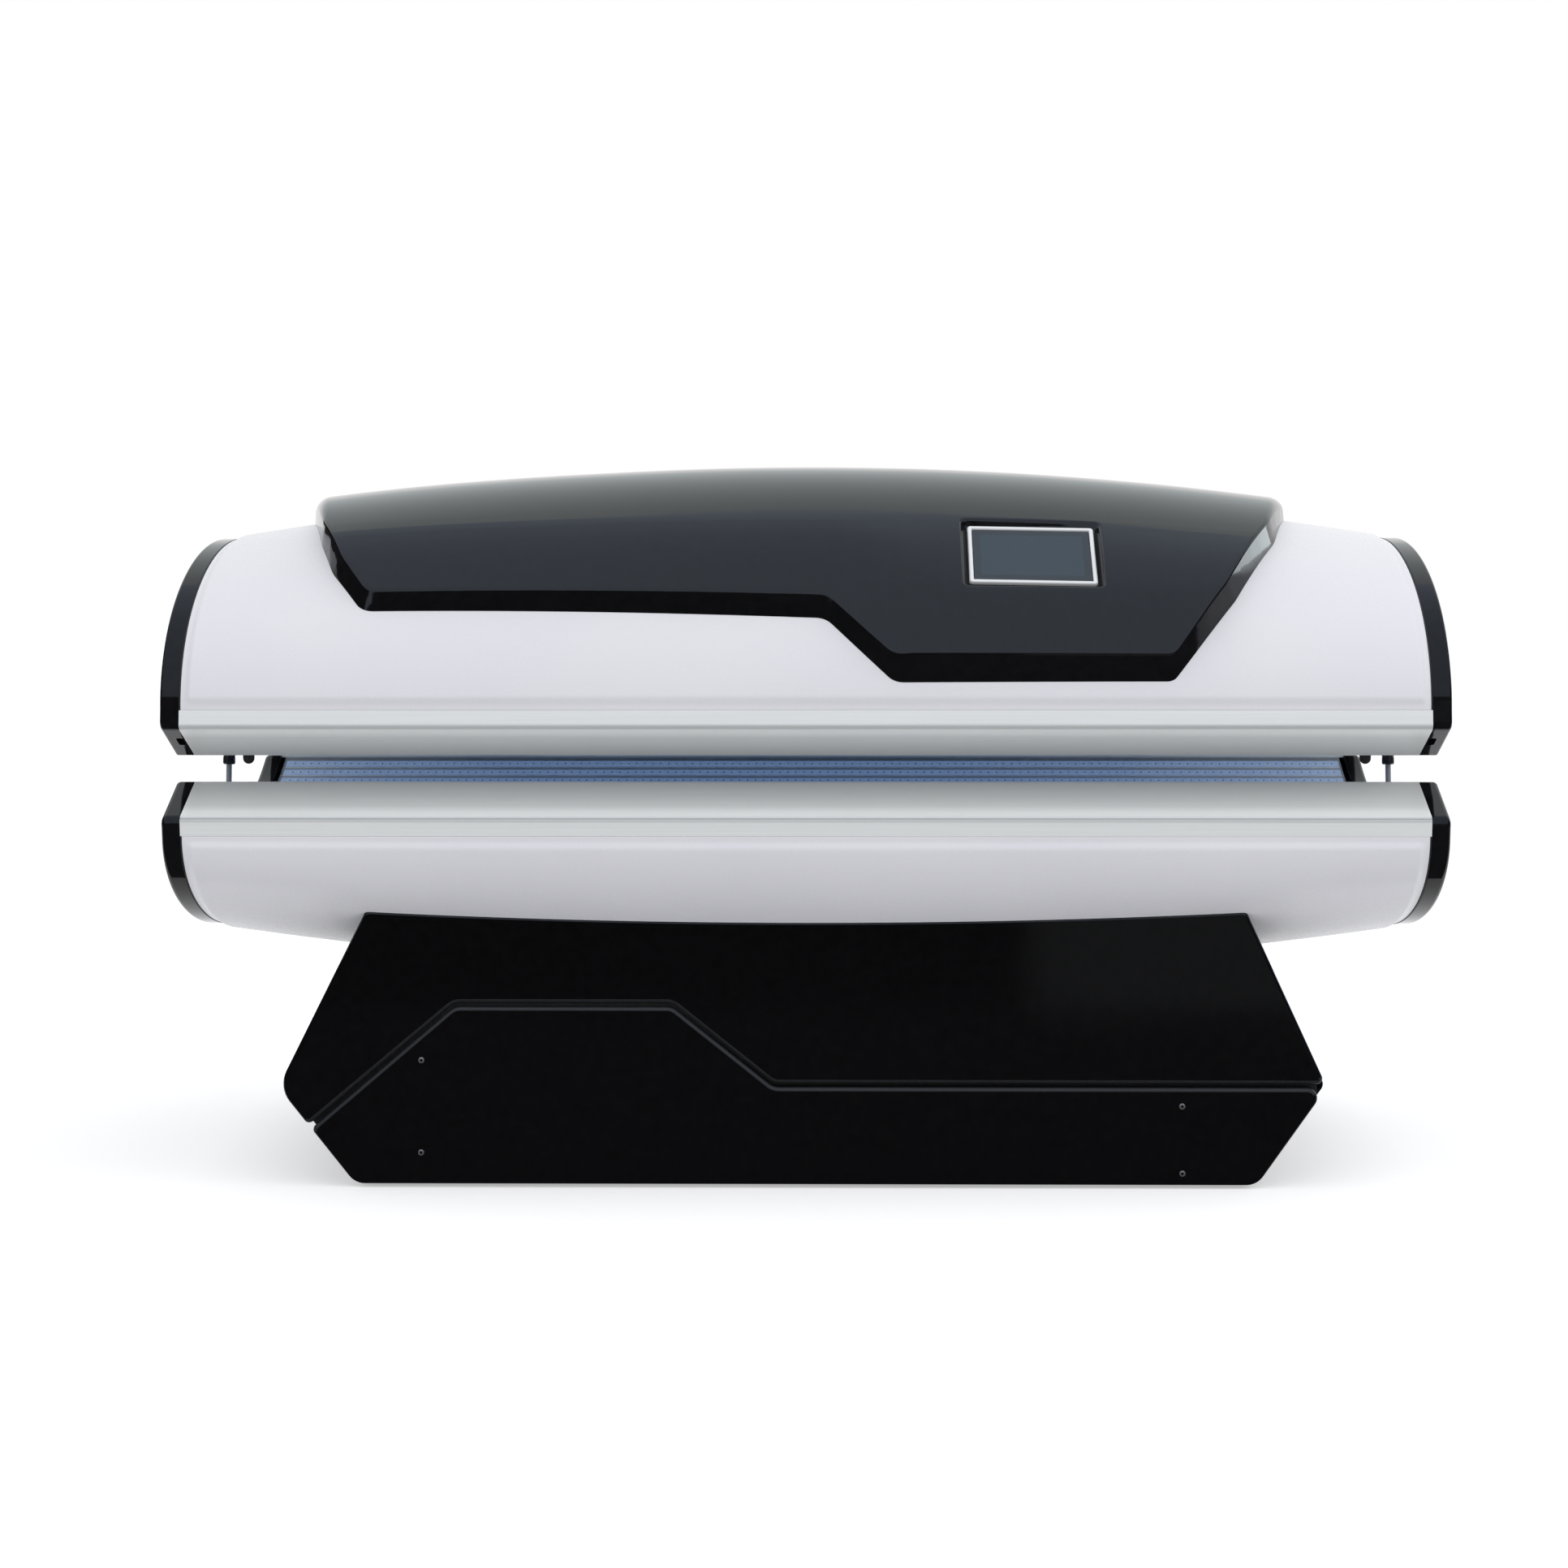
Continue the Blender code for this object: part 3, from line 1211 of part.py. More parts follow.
def make_fan(hand):
    word = "right" if hand > 0 else "left"
    x = hand * FAN_X
    face = FRAME_HALF
    frame = [rectangle(x, FAN_Z, FAN_SIZE, FAN_SIZE, FAN_SIZE / 20), circle(x, FAN_Z, FAN_BORE_RADIUS, 24)]
    name = "fan_housing_" + word
    housing = add_part(name, plate_mesh(name, frame, FAN_DEPTH, UPRIGHT, -face), "black_plastic")
    back = -face + FAN_DEPTH - FAN_SPIDER_WALL
    hub = plate_mesh(name, [circle(x, FAN_Z, FAN_HUB_RADIUS)], FAN_SPIDER_WALL, UPRIGHT, back)
    cut(housing, add_cutter(name + "_hub", hub), "UNION")
    for index in range(2):
        turn = math.pi / 4 + index * math.pi / 2
        reach = FAN_BORE_RADIUS + FAN_ARM_WIDTH / 2
        arm = rectangle(0, 0, 2 * reach, FAN_ARM_WIDTH)
        arm = [Matrix.Rotation(turn, 2) @ point + Vector((x, FAN_Z)) for point in arm]
        bar = plate_mesh(name, [arm], FAN_SPIDER_WALL, UPRIGHT, back)
        cut(housing, add_cutter(name + "_arm_" + str(index), bar), "UNION")
    shaft_length = FAN_HUB_LENGTH * 0.7
    shaft = plate_mesh(name, [circle(x, FAN_Z, FAN_SHAFT_RADIUS, 16)], shaft_length + CLEAR, UPRIGHT,
                       back - shaft_length)
    cut(housing, add_cutter(name + "_shaft", shaft), "UNION")
    make_rotor(word, x, back - CLEAR)


def make_rotor(word, x, seat):
    """The rotor: a hub with a blind shaft bore and pitched blades, its origin on the axis."""
    name = "fan_rotor_" + word
    tip = FAN_BORE_RADIUS - FAN_TIP_CLEAR
    spin = UPRIGHT @ Matrix.Translation((x, FAN_Z, seat))
    hub = plate_mesh(name, [circle(0, 0, FAN_HUB_RADIUS)], FAN_HUB_LENGTH, Matrix.Identity(4), -FAN_HUB_LENGTH)
    rotor = add_part(name, hub, "black_plastic")
    rotor.matrix_world = spin
    for index in range(FAN_BLADES):
        blade = bmesh.new()
        bmesh.ops.create_cube(blade, size=1.0)
        root = FAN_HUB_RADIUS - FAN_BLADE_WALL
        chord = FAN_HUB_LENGTH * 0.8 / math.sin(FAN_BLADE_PITCH)
        bmesh.ops.scale(blade, vec=(tip - root, chord, FAN_BLADE_WALL), verts=blade.verts)
        bmesh.ops.rotate(blade, matrix=Matrix.Rotation(FAN_BLADE_PITCH, 3, "X"), verts=blade.verts)
        bmesh.ops.translate(blade, vec=((tip + root) / 2, 0, -FAN_HUB_LENGTH / 2), verts=blade.verts)
        turn = Matrix.Rotation(2 * math.pi * index / FAN_BLADES, 3, "Z")
        bmesh.ops.rotate(blade, matrix=turn, verts=blade.verts)
        cutter = add_cutter(name + "_blade_" + str(index), mesh_from(blade, name + "_blade"))
        cutter.matrix_world = spin
        cut(rotor, cutter, "UNION")
    bore = circle(0, 0, FAN_SHAFT_RADIUS + FAN_SHAFT_CLEAR, 16)
    depth = FAN_HUB_LENGTH * 0.8
    hole = plate_mesh(name + "_bore", [bore], 2 * depth, Matrix.Identity(4), -depth)
    cutter = add_cutter(name + "_bore", hole)
    cutter.matrix_world = spin
    cut(rotor, cutter)


def make_inlet():
    """The recessed mains inlet in the back panel, its mouth facing the rear."""
    name = "mains_inlet"
    outer = -BASE_HALF - CLEAR
    body = rectangle(INLET_X, INLET_Z, INLET_WIDTH, INLET_HEIGHT)
    flange = rectangle(INLET_X, INLET_Z, INLET_WIDTH + 2 * INLET_FLANGE, INLET_HEIGHT + INLET_FLANGE,
                       INLET_FLANGE / 3)
    start = outer - INLET_FLANGE_WALL
    part = add_part(name, plate_mesh(name, [flange], INLET_FLANGE_WALL, UPRIGHT, start), "black_plastic")
    core = plate_mesh(name, [body], INLET_DEPTH, UPRIGHT, start + INLET_FLANGE_WALL / 2)
    cut(part, add_cutter("inlet_core", core), "UNION")
    mouth = rectangle(INLET_X, INLET_Z, INLET_WIDTH - 2 * INLET_WALL, INLET_HEIGHT - 2 * INLET_WALL)
    hollow = plate_mesh(name, [mouth], INLET_DEPTH, UPRIGHT, start - INLET_WALL)
    cut(part, add_cutter("inlet_mouth", hollow))


def build():
    slots = slot_cutters()
    for side in (LOWER, UPPER):
        make_shell(side)
        make_rails(side)
        make_caps(side)
        make_liner(side, slots)
        make_tray(side, slots)
        make_ribs(side)
    for hand in (-1, 1):
        make_hinge(hand)
        make_strut(hand)
        make_fan(hand)
    make_buffers()
    make_hood()
    make_screen()
    level = PARTING_Z - LAND_REACH
    scribe = add_cutter("shell_scribe", shell_plug("shell_scribe", LOWER, SCRIBE_GAP, level))
    make_base_panels(scribe)
    make_base_frame(scribe)
    make_feet()
    make_boxes()
    make_inlet()
    bpy.context.view_layer.update()


build()
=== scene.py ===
"""Looks of the LED light therapy bed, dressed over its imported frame.

Metres, +Z up, X along the bed, the front faces -Y. Both halves are drawn outward from the parting
plane, so a height there is PARTING_Z +/- reach.
"""
import math

import bmesh
import bpy
from mathutils import Matrix, Vector


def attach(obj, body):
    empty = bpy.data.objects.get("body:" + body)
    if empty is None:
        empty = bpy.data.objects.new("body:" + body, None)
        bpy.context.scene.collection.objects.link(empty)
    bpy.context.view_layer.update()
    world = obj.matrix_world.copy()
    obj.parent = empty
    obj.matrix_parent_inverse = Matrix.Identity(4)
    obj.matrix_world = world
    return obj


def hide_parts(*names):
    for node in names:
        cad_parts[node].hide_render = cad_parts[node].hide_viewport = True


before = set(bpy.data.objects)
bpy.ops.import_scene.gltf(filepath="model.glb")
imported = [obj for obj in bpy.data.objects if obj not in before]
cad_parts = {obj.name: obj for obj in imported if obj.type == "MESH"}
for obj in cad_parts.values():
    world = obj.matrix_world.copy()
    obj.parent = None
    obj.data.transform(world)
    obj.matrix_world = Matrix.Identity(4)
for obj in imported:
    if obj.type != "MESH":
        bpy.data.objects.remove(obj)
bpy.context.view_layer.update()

# Meshes: a crease in degrees, how near doubles lie, how near a vertex lies to the face it is on, and how near
# a vertex lies to a cut that goes through it
CREASE_ANGLE = 32
MERGE = 0.00001
ON_FACE = 0.0005
SLOT_SNAP = 0.0001
HOOD_SNAP = 0.0002

# Overall sizes and rails, as in the solids
BED_LENGTH = 2.200
BED_DEPTH = 1.000
CAP_THICKNESS = 0.033
PARTING_Z = 0.727
CLEAR = 0.0003
LIP_GAP = 0.046
RAIL_RISE = 0.055
RAIL_FLANGE = 0.030
RAIL_REACH = 0.112
RAIL_WALL = 0.004
LAND_WIDTH = 0.052
LAND_FALL = 0.004
FLANGE_LEAN = 0.003
LIP_RADIUS = 0.010
NOSE_RADIUS = 0.018
RAIL_ARC_STEPS = 8
RAIL_CREASE_ANGLE = 40

# Corners along a rail's grooved nose: how far in, how far past the nose's reach, rounding
RAIL_NOSE = (
    (0.0, -0.0020, 0.0060),
    (0.0018, 0.0006, 0.0012),
    (0.0003, 0.0030, 0.0014),
)
# Painted light and shade on a rail, as grey tones by the share of the way from its lip to its seam:
# painted shade towards the lip, a painted highlight on the slope just short of the nose, painted shade in the
# nose's groove
RAIL_PAINTED_LIGHT_AND_SHADE = (
    (0.0, 0.66),
    (0.42, 0.80),
    (0.52, 0.97),
    (0.580, 0.99),
    (0.630, 0.62),
    (0.680, 0.62),
    (0.735, 0.90),
    (1.0, 0.93),
)

# Shells: a flat margin along rails and caps, then a raised pillow
SHELL_WALL = 0.005
LOWER_RISE = 0.204
LOWER_CROWN = 0.085
UPPER_RISE = 0.297
UPPER_CROWN = 0.088
CROWN_POWER = 1.5
PILLOW_HEIGHT = 0.0050
PILLOW_MARGIN = 0.007
PILLOW_SLOPE = 0.014
PILLOW_SPARE = 0.003
MARGIN_CUTS = 12
SHELL_X_CUTS = 72
SHELL_ANGLE_CUTS = 60

# End caps
CAP_EDGE_RADIUS = 0.0095
CAP_INNER_RADIUS = 0.0012
CAP_STEPS = 56
CAP_POCKET_WIDTH = 0.012
CAP_POCKET_LENGTH = 0.030
CAP_POCKET_DEPTH = 0.012
CAP_POCKET_RADIUS = 0.004
CAP_POCKET_FROM_SHELL = 0.0035
GASKET_WIDTH = 0.0028
GASKET_HEIGHT = 0.0007

# Liners, LED trays
LINER_WALL = 0.005
LINER_END_GAP = 0.0105
BED_EDGE_ANGLE = math.radians(32)
CANOPY_LINER_RISE = 0.265
LINER_STEPS = 18
SHEET_STEPS = 72
LED_BACK = 0.012
CARRIER_WALL = 0.0015
LED_PITCH = 0.030
RIDGE_WIDTH = 0.004
RIDGE_BAR_SHARE = 0.7
RIDGE_HEIGHT = 0.0035
CANOPY_TRAY_START = math.radians(9)
BOARD_WIDTH = 0.019
BOARD_THICKNESS = 0.0012
LAMP_PITCH = 0.016
LAMP_SIZE = 0.0030
LAMP_HEIGHT = 0.0012
LAMP_TAPER = 0.7
LAMP_END_GAP = 0.006
LAMP_PAIR = 0.0042
STRIP_SHORT_HALF = 1.028
STRIP_SLOT_CLEAR = 0.004
STRIP_END_GAP = 0.001

# Struts and buffers
STRUT_FROM_CAP = 0.0145
STRUT_TOP = Vector((0, -0.150, 1.07308))
STRUT_FOOT = Vector((0, -0.210, 0.51888))
STRUT_TUBE_RADIUS = 0.011
STRUT_ROD_RADIUS = 0.005
STRUT_TUBE_END_DROP = 0.007
STRUT_ROD_INSIDE = 0.315
STRUT_EYE_RADIUS = 0.012
STRUT_EYE_WIDTH = 0.012
STRUT_EYE_EDGE = 0.001
STRUT_PIN_HOLE = 0.0054
ROD_EYE_RADIUS = 0.011
STRUT_SLOT_WIDTH = 0.140
STRUT_SLOT_CLEAR = 0.007
STRUT_SLOT_Y = -0.166
BUFFER_X = 0.980
BUFFER_RADIUS = 0.010
BUFFER_DROP = 0.019
BUFFER_SIDE = 0.009
BUFFER_FROM_LIP = 0.036
BUFFER_STEPS = 8

# A tube's upper end: radius, distance down from the top pivot
TUBE_NECK = (
    (0.0, 0.010),
    (0.006, 0.010),
    (0.0065, 0.018),
    (STRUT_TUBE_RADIUS - 0.002, 0.020),
    (STRUT_TUBE_RADIUS, 0.023),
)
# A tube's lower end: radius, distance up from that end
TUBE_END = (
    (STRUT_TUBE_RADIUS, 0.016),
    (STRUT_TUBE_RADIUS - 0.0008, 0.0145),
    (STRUT_TUBE_RADIUS, 0.013),
    (STRUT_TUBE_RADIUS, 0.002),
    (STRUT_TUBE_RADIUS - 0.002, 0.0),
    (STRUT_ROD_RADIUS + 0.0008, 0.0),
    (STRUT_ROD_RADIUS + 0.0006, 0.003),
    (0.0, 0.003),
)
# A rod's upper end, inside the tube: radius, distance up from the tube's lower end
ROD_TOP = ((0.0, STRUT_ROD_INSIDE), (STRUT_ROD_RADIUS, STRUT_ROD_INSIDE))
# A rod's lower end: radius, distance up from the bottom pivot
ROD_END = (
    (STRUT_ROD_RADIUS, 0.030),
    (STRUT_ROD_RADIUS + 0.0012, 0.029),
    (STRUT_ROD_RADIUS + 0.0012, 0.006),
    (0.0, 0.006),
)

# Hood: corners as X and degrees of its foot, X and degrees of its face's edge, rounding of the ridge between;
# the degrees go round the shell from the front rail, and the crease grows into the shoulder between two turns
HOOD_EDGE = (
    (-0.764, 30.0, -0.753, 33.9, 0.036),
    (0.036, 25.5, 0.040, 30.4, 0.037),
    (0.154, 8.0, 0.154, 14.5, 0.034),
    (0.628, 8.5, 0.627, 14.8, 0.020),
    (0.742, 33.0, 0.721, 34.0, 0.150),
    (0.832, 58.0, 0.815, 58.5, 0.250),
    (0.886, 86.0, 0.877, 86.0, 0.150),
    (0.886, 104.0, 0.877, 104.0, 0.060),
    (0.640, 142.0, 0.625, 137.0, 0.034),
    (-0.780, 142.0, -0.765, 137.0, 0.034),
    (-0.922, 104.0, -0.912, 104.0, 0.060),
    (-0.922, 86.0, -0.912, 86.0, 0.150),
    (-0.864, 58.0, -0.853, 58.0, 0.250),
    (-0.827, 44.0, -0.804, 44.0, 0.150),
)
HOOD_LIFT = 0.045
HOOD_EDGE_LIFT = 0.027
HOOD_END_LIFT = 0.007
HOOD_END_START = 0.3
HOOD_END_RUN = 0.6
HOOD_LIFT_RUN = 0.200
HOOD_WALL = 0.003
HOOD_CREASE = 0.005
HOOD_SHOULDER = 0.024
HOOD_SHOULDER_TURNS = (54.0, 82.0)
HOOD_CORNER_STEPS = 6
HOOD_ROUND_STEPS = 7
HOOD_CREASE_ANGLE = 50
HOOD_ARC = 0.450
HOOD_X_PITCH = 0.022
HOOD_ARC_PITCH = 0.016
VENT_COUNT = 9
VENT_PITCH = 0.060
VENT_WIDTH = 0.008
VENT_LENGTH = 0.070
VENT_ANGLE = math.radians(122)

# Touch screen
SCREEN_X = 0.393
SCREEN_ANGLE = math.radians(41.8)
RECESS_WIDTH = 0.244
RECESS_HEIGHT = 0.172
RECESS_RADIUS = 0.012
RECESS_DEPTH = 0.018
RECESS_LIP = 0.003
RECESS_WALL_RUN = 0.011
RECESS_CUTS = 8
RECESS_CUT_SPARE = 0.001
RECESS_ARC_SHARE = 0.93
BEZEL_WIDTH = 0.221
BEZEL_HEIGHT = 0.148
BEZEL_BORDER = 0.0080
BEZEL_THICKNESS = 0.007
BEZEL_RADIUS = 0.006
BEZEL_EDGE = 0.0035
OPENING_RADIUS = 0.0006
PANE_RADIUS = 0.0012
GLASS_GAP = 0.0012
GLASS_THICKNESS = 0.0045
DISPLAY_BORDER = 0.0125

# Base
BASE_DEPTH = 0.790
BASE_TOP_HALF = 0.769
BASE_WAIST_HALF = {-1: 0.919, 1: 0.907}
BASE_FRONT = 0.409
BASE_LEAN = 0.025
BASE_BOTTOM_HALF = 0.784
BASE_TOP_Z = 0.475
BASE_WAIST_Z = 0.1725
BASE_BOTTOM_Z = 0.006
BASE_FOOT_RADIUS = 0.036
WAIST_RADIUS = {-1: 0.050, 1: 0.016}
PANEL_WALL = 0.012
PANEL_EDGE_RADIUS = 0.007
PANEL_TOP_RADIUS = 0.012
PANEL_END_RADIUS = 0.010
SERVICE_END_RADIUS = 0.018
PANEL_GROOVE = 0.006
# How far from the groove the rounded edges take the painted sheen
GROOVE_SHEEN_BAND = 0.016
GROOVE_BACK_HALF = 0.016
GROOVE_BACK_INSET = 0.008
GROOVE_BACK_SINK = 0.004
PANEL_TOP_STEPS = 40
BASE_ARC_STEPS = 8
SCRIBE_PASSES = 12
FRONT_FLATNESS = 0.99
END_PANEL_WALL = 0.006
END_PANEL_CURL = 0.022
END_PANEL_ROWS = 36
SCRIBE_GAP = 0.0005
GROOVE_START_Z = 0.104
GROOVE_HIGH_LEFT_X = -0.611
GROOVE_HIGH_RIGHT_X = -0.231
GROOVE_HIGH_Z = 0.317
GROOVE_LOW_X = -0.055
GROOVE_LOW_Z = 0.178
GROOVE_RADIUS = 0.030
SCREW_PLACES = ((-0.668, 0.221), (-0.668, 0.061), (0.654, 0.143), (0.654, 0.027))
SCREW_RADIUS = 0.0055
# A screw's dome and socket: share of its radius, height off the panel
SCREW_PROFILE = (
    (0.0, -0.0004),
    (0.42, -0.0004),
    (0.45, 0.0016),
    (0.75, 0.0013),
    (0.94, 0.0007),
    (1.0, -0.0002),
    (1.0, -0.001),
)

# Back panel
FAN_X = 0.300
FAN_Z = 0.225
FAN_SCREW_SPREAD = 0.0525
GRILLE_SLOTS = 9
GRILLE_PITCH = 0.0115
GRILLE_SLOT_WIDTH = 0.0055
GRILLE_SLOT_ROUND = 0.45
GRILLE_RADIUS = 0.054
INLET_X = 0.560
INLET_Z = 0.140
INLET_WIDTH = 0.028
INLET_HEIGHT = 0.020
BLADE_PLACES = ((-0.007, -0.002), (0.0, 0.003), (0.007, -0.002))
BLADE_WIDTH = 0.002
BLADE_HEIGHT = 0.004
BLADE_RADIUS = 0.0008
BLADE_SINK = 0.003
BLADE_LENGTH = 0.016
BACK_SCREW_PLACES = ((-0.700, 0.060), (0.700, 0.060), (-0.800, 0.1725), (0.830, 0.1725), (-0.690, 0.400),
                     (0.690, 0.400))

# Studio cards: the corners and the tone of each
STUDIO_CARDS = {
    "floor_card": (((-5, -6, 0.003), (5, -6, 0.003), (5, -0.42, 0.003), (-5, -0.42, 0.003)),
                   (0.05, 0.05, 0.055)),
    "wall_card": (((-5, -6, 0), (5, -6, 0), (5, -6, 2), (-5, -6, 2)), (0.03, 0.03, 0.032)),
    "ceiling_card": (((-5, -6, 2), (5, -6, 2), (5, 1.32, 4.1), (-5, 1.32, 4.1)), (0.68, 0.78, 0.94)),
    "rear_ceiling_card": (((-5, 1.32, 4.1), (5, 1.32, 4.1), (5, 6, 3.2), (-5, 6, 3.2)), (0.87, 0.93, 0.95)),
    "left_wall_card": (((-5, -6, 0), (-5, -6, 6), (-5, 6, 6), (-5, 6, 0)), (0.03, 0.03, 0.032)),
    "right_wall_card": (((5, -6, 0), (5, -6, 6), (5, 1.2, 6), (5, 1.2, 0)), (0.03, 0.045, 0.09)),
    "right_window_card": (((5, 1.2, 1.2), (5, 1.2, 2.8), (5, 3.6, 2.8), (5, 3.6, 1.2)), (3.2, 3.5, 3.6)),
    "front_right_card": (((0.75, -5.9, 0), (3.5, -5.9, 0), (3.5, -5.9, 1.6), (0.75, -5.9, 1.6)),
                         (0.16, 0.165, 0.17)),
}

# Softboxes: place, target, size, and power in watts
SOFTBOXES = {
    "overhead_softbox": ((0.0, -0.6, 4.2), (0.0, 0.0, 0.8), (5.0, 3.0), 30.0),
    "right_softbox": ((4.5, -1.2, 2.6), (0.6, 0.0, 0.9), (2.0, 2.0), 30.0),
    "front_softbox": ((-1.5, -5.5, 2.6), (0.0, 0.0, 0.7), (3.0, 2.0), 18.0),
}

# Floor and room
FLOOR_RADIUS = 40.0
FLOOR_PAINT = (0.80, 0.80, 0.80, 1.0)
FLOOR_GLOW = 0.40
ROOM_TONE = (0.96, 0.97, 1.0, 1.0)
ROOM_STRENGTH = 0.84

# The camera, fitted to the photograph
CAMERA_PLACE = (0.080, -5.100, 1.0757)
CAMERA_YAW = math.radians(0.754)
CAMERA_PITCH = math.radians(2.237)
CAMERA_ROLL = math.radians(-0.046)
CAMERA_LENS = 62.225
CAMERA_SENSOR = 36.0
CAMERA_SHIFT = (-0.020, -0.070)

UPPER = 1
LOWER = -1

# Places worked out from the sizes above
SHELL_HALF = BED_LENGTH / 2 - CAP_THICKNESS - CLEAR
CAP_INNER_X = BED_LENGTH / 2 - CAP_THICKNESS
NOSE_Y = BED_DEPTH / 2
LIP_Y = NOSE_Y - RAIL_REACH
LAND_Y = LIP_Y - LAND_WIDTH
LIP_REACH = LIP_GAP / 2
LAND_REACH = LIP_REACH + LAND_FALL
NOSE_REACH = LIP_REACH + RAIL_RISE
SEAM_REACH = NOSE_REACH + RAIL_FLANGE
SHELL_Y = NOSE_Y - FLANGE_LEAN
RISE = {UPPER: UPPER_RISE, LOWER: LOWER_RISE}
CROWN = {UPPER: UPPER_CROWN, LOWER: LOWER_CROWN}
TRAY_START = {UPPER: CANOPY_TRAY_START, LOWER: 0.0}
LINER_HALF = CAP_INNER_X - LINER_END_GAP
STRUT_X = CAP_INNER_X - STRUT_FROM_CAP
STRUT_AIM = (STRUT_FOOT - STRUT_TOP).normalized()
BASE_HALF = BASE_DEPTH / 2
FRAME_HALF = BASE_HALF - PANEL_WALL - CLEAR
BODY_OF = {UPPER: "canopy", LOWER: "base"}
HALF_OF = {UPPER: "upper", LOWER: "lower"}
BED_OF = {UPPER: "canopy", LOWER: "bed"}


# Finishes

def add_node(owner, kind, **values):
    """A shader node of a material or world, with some of its inputs set by name."""
    node = owner.node_tree.nodes.new("ShaderNode" + kind)
    for name, value in values.items():
        node.inputs[name.replace("_", " ").title()].default_value = value
    return node


def connect(owner, source, target):
    owner.node_tree.links.new(source, target)


def shader_of(material):
    return material.node_tree.nodes["Principled BSDF"]


def new_finish(name, colour, roughness, metallic=0.0, specular=0.5):
    """A Principled finish with its constant numbers set on the shader's own sockets."""
    material = bpy.data.materials.new(name)
    material.use_nodes = True
    shader = shader_of(material)
    shader.inputs["Base Color"].default_value = (*colour, 1.0)
    shader.inputs["Roughness"].default_value = roughness
    shader.inputs["Metallic"].default_value = metallic
    shader.inputs["Specular IOR Level"].default_value = specular
    material.diffuse_color = (*colour, 1.0)
    return material


def grain(material, scale, stretch=(1.0, 1.0, 1.0), detail=4.0):
    """A noise on Object coordinates, drawn out along an axis by a stretch below one."""
    place = add_node(material, "TexCoord")
    mapping = add_node(material, "Mapping", scale=stretch)
    pattern = add_node(material, "TexNoise", scale=scale, detail=detail)
    connect(material, place.outputs["Object"], mapping.inputs["Vector"])
    connect(material, mapping.outputs["Vector"], pattern.inputs["Vector"])
    return pattern.outputs["Fac"]


def tone_ramp(material, pattern, stops):
    """Tones along a pattern, from (share, colour) stops."""
    ramp = add_node(material, "ValToRGB")
    elements = ramp.color_ramp.elements
    elements.remove(elements[1])
    for index, (share, colour) in enumerate(stops):
        stop = elements.new(share) if index else elements[0]
        stop.position = share
        stop.color = (*colour, 1.0)
    connect(material, pattern, ramp.inputs["Fac"])
    return ramp.outputs["Color"]


def tint(material, pattern, first, second, low=0.35, high=0.65):
    """Colour that drifts between two tones along a pattern."""
    drift = tone_ramp(material, pattern, ((low, first), (high, second)))
    connect(material, drift, shader_of(material).inputs["Base Color"])


def polish(material, pattern, low, high):
    """Roughness that drifts between two values along a pattern."""
    spread = add_node(material, "MapRange", from_min=0.3, from_max=0.7, to_min=low, to_max=high)
    connect(material, pattern, spread.inputs["Value"])
    connect(material, spread.outputs["Result"], shader_of(material).inputs["Roughness"])


def relief(material, pattern, strength, depth):
    bump = add_node(material, "Bump", strength=strength, distance=depth)
    connect(material, pattern, bump.inputs["Height"])
    connect(material, bump.outputs["Normal"], shader_of(material).inputs["Normal"])


def white_shell_finish():
    material = new_finish("white_shell", (0.77, 0.765, 0.795), 0.24, specular=0.45)
    tint(material, grain(material, 2.2), (0.76, 0.755, 0.79), (0.78, 0.775, 0.80))
    fine = grain(material, 420.0)
    polish(material, fine, 0.21, 0.29)
    relief(material, fine, 0.05, 0.0004)
    return material


def gloss_black_finish(name, specular, tone):
    dark = (tone, tone, tone * 1.15)
    material = new_finish(name, dark, 0.07, specular=specular)
    tint(material, grain(material, 60.0), dark, (tone * 1.5, tone * 1.5, tone * 1.7))
    polish(material, grain(material, 8.0), 0.05, 0.10)
    relief(material, grain(material, 260.0, detail=1.0), 0.006, 0.0003)
    return material


def drawn_metal_finish(name, first, second, low, high, metallic=1.0):
    """Drawn metal, fine lines along its length; anodised and silvered parts are less metallic."""
    material = new_finish(name, first, low, metallic=metallic)
    lines = grain(material, 900.0, stretch=(0.004, 1.0, 1.0), detail=3.0)
    tint(material, lines, first, second)
    polish(material, lines, low, high)
    relief(material, lines, 0.06, 0.0002)
    return material


def maths(owner, operation, *values):
    """One step of arithmetic on sockets or plain numbers."""
    node = add_node(owner, "Math")
    node.operation = operation
    for value, target in zip(values, node.inputs):
        if isinstance(value, float):
            target.default_value = value
        else:
            connect(owner, value, target)
    return node.outputs["Value"]


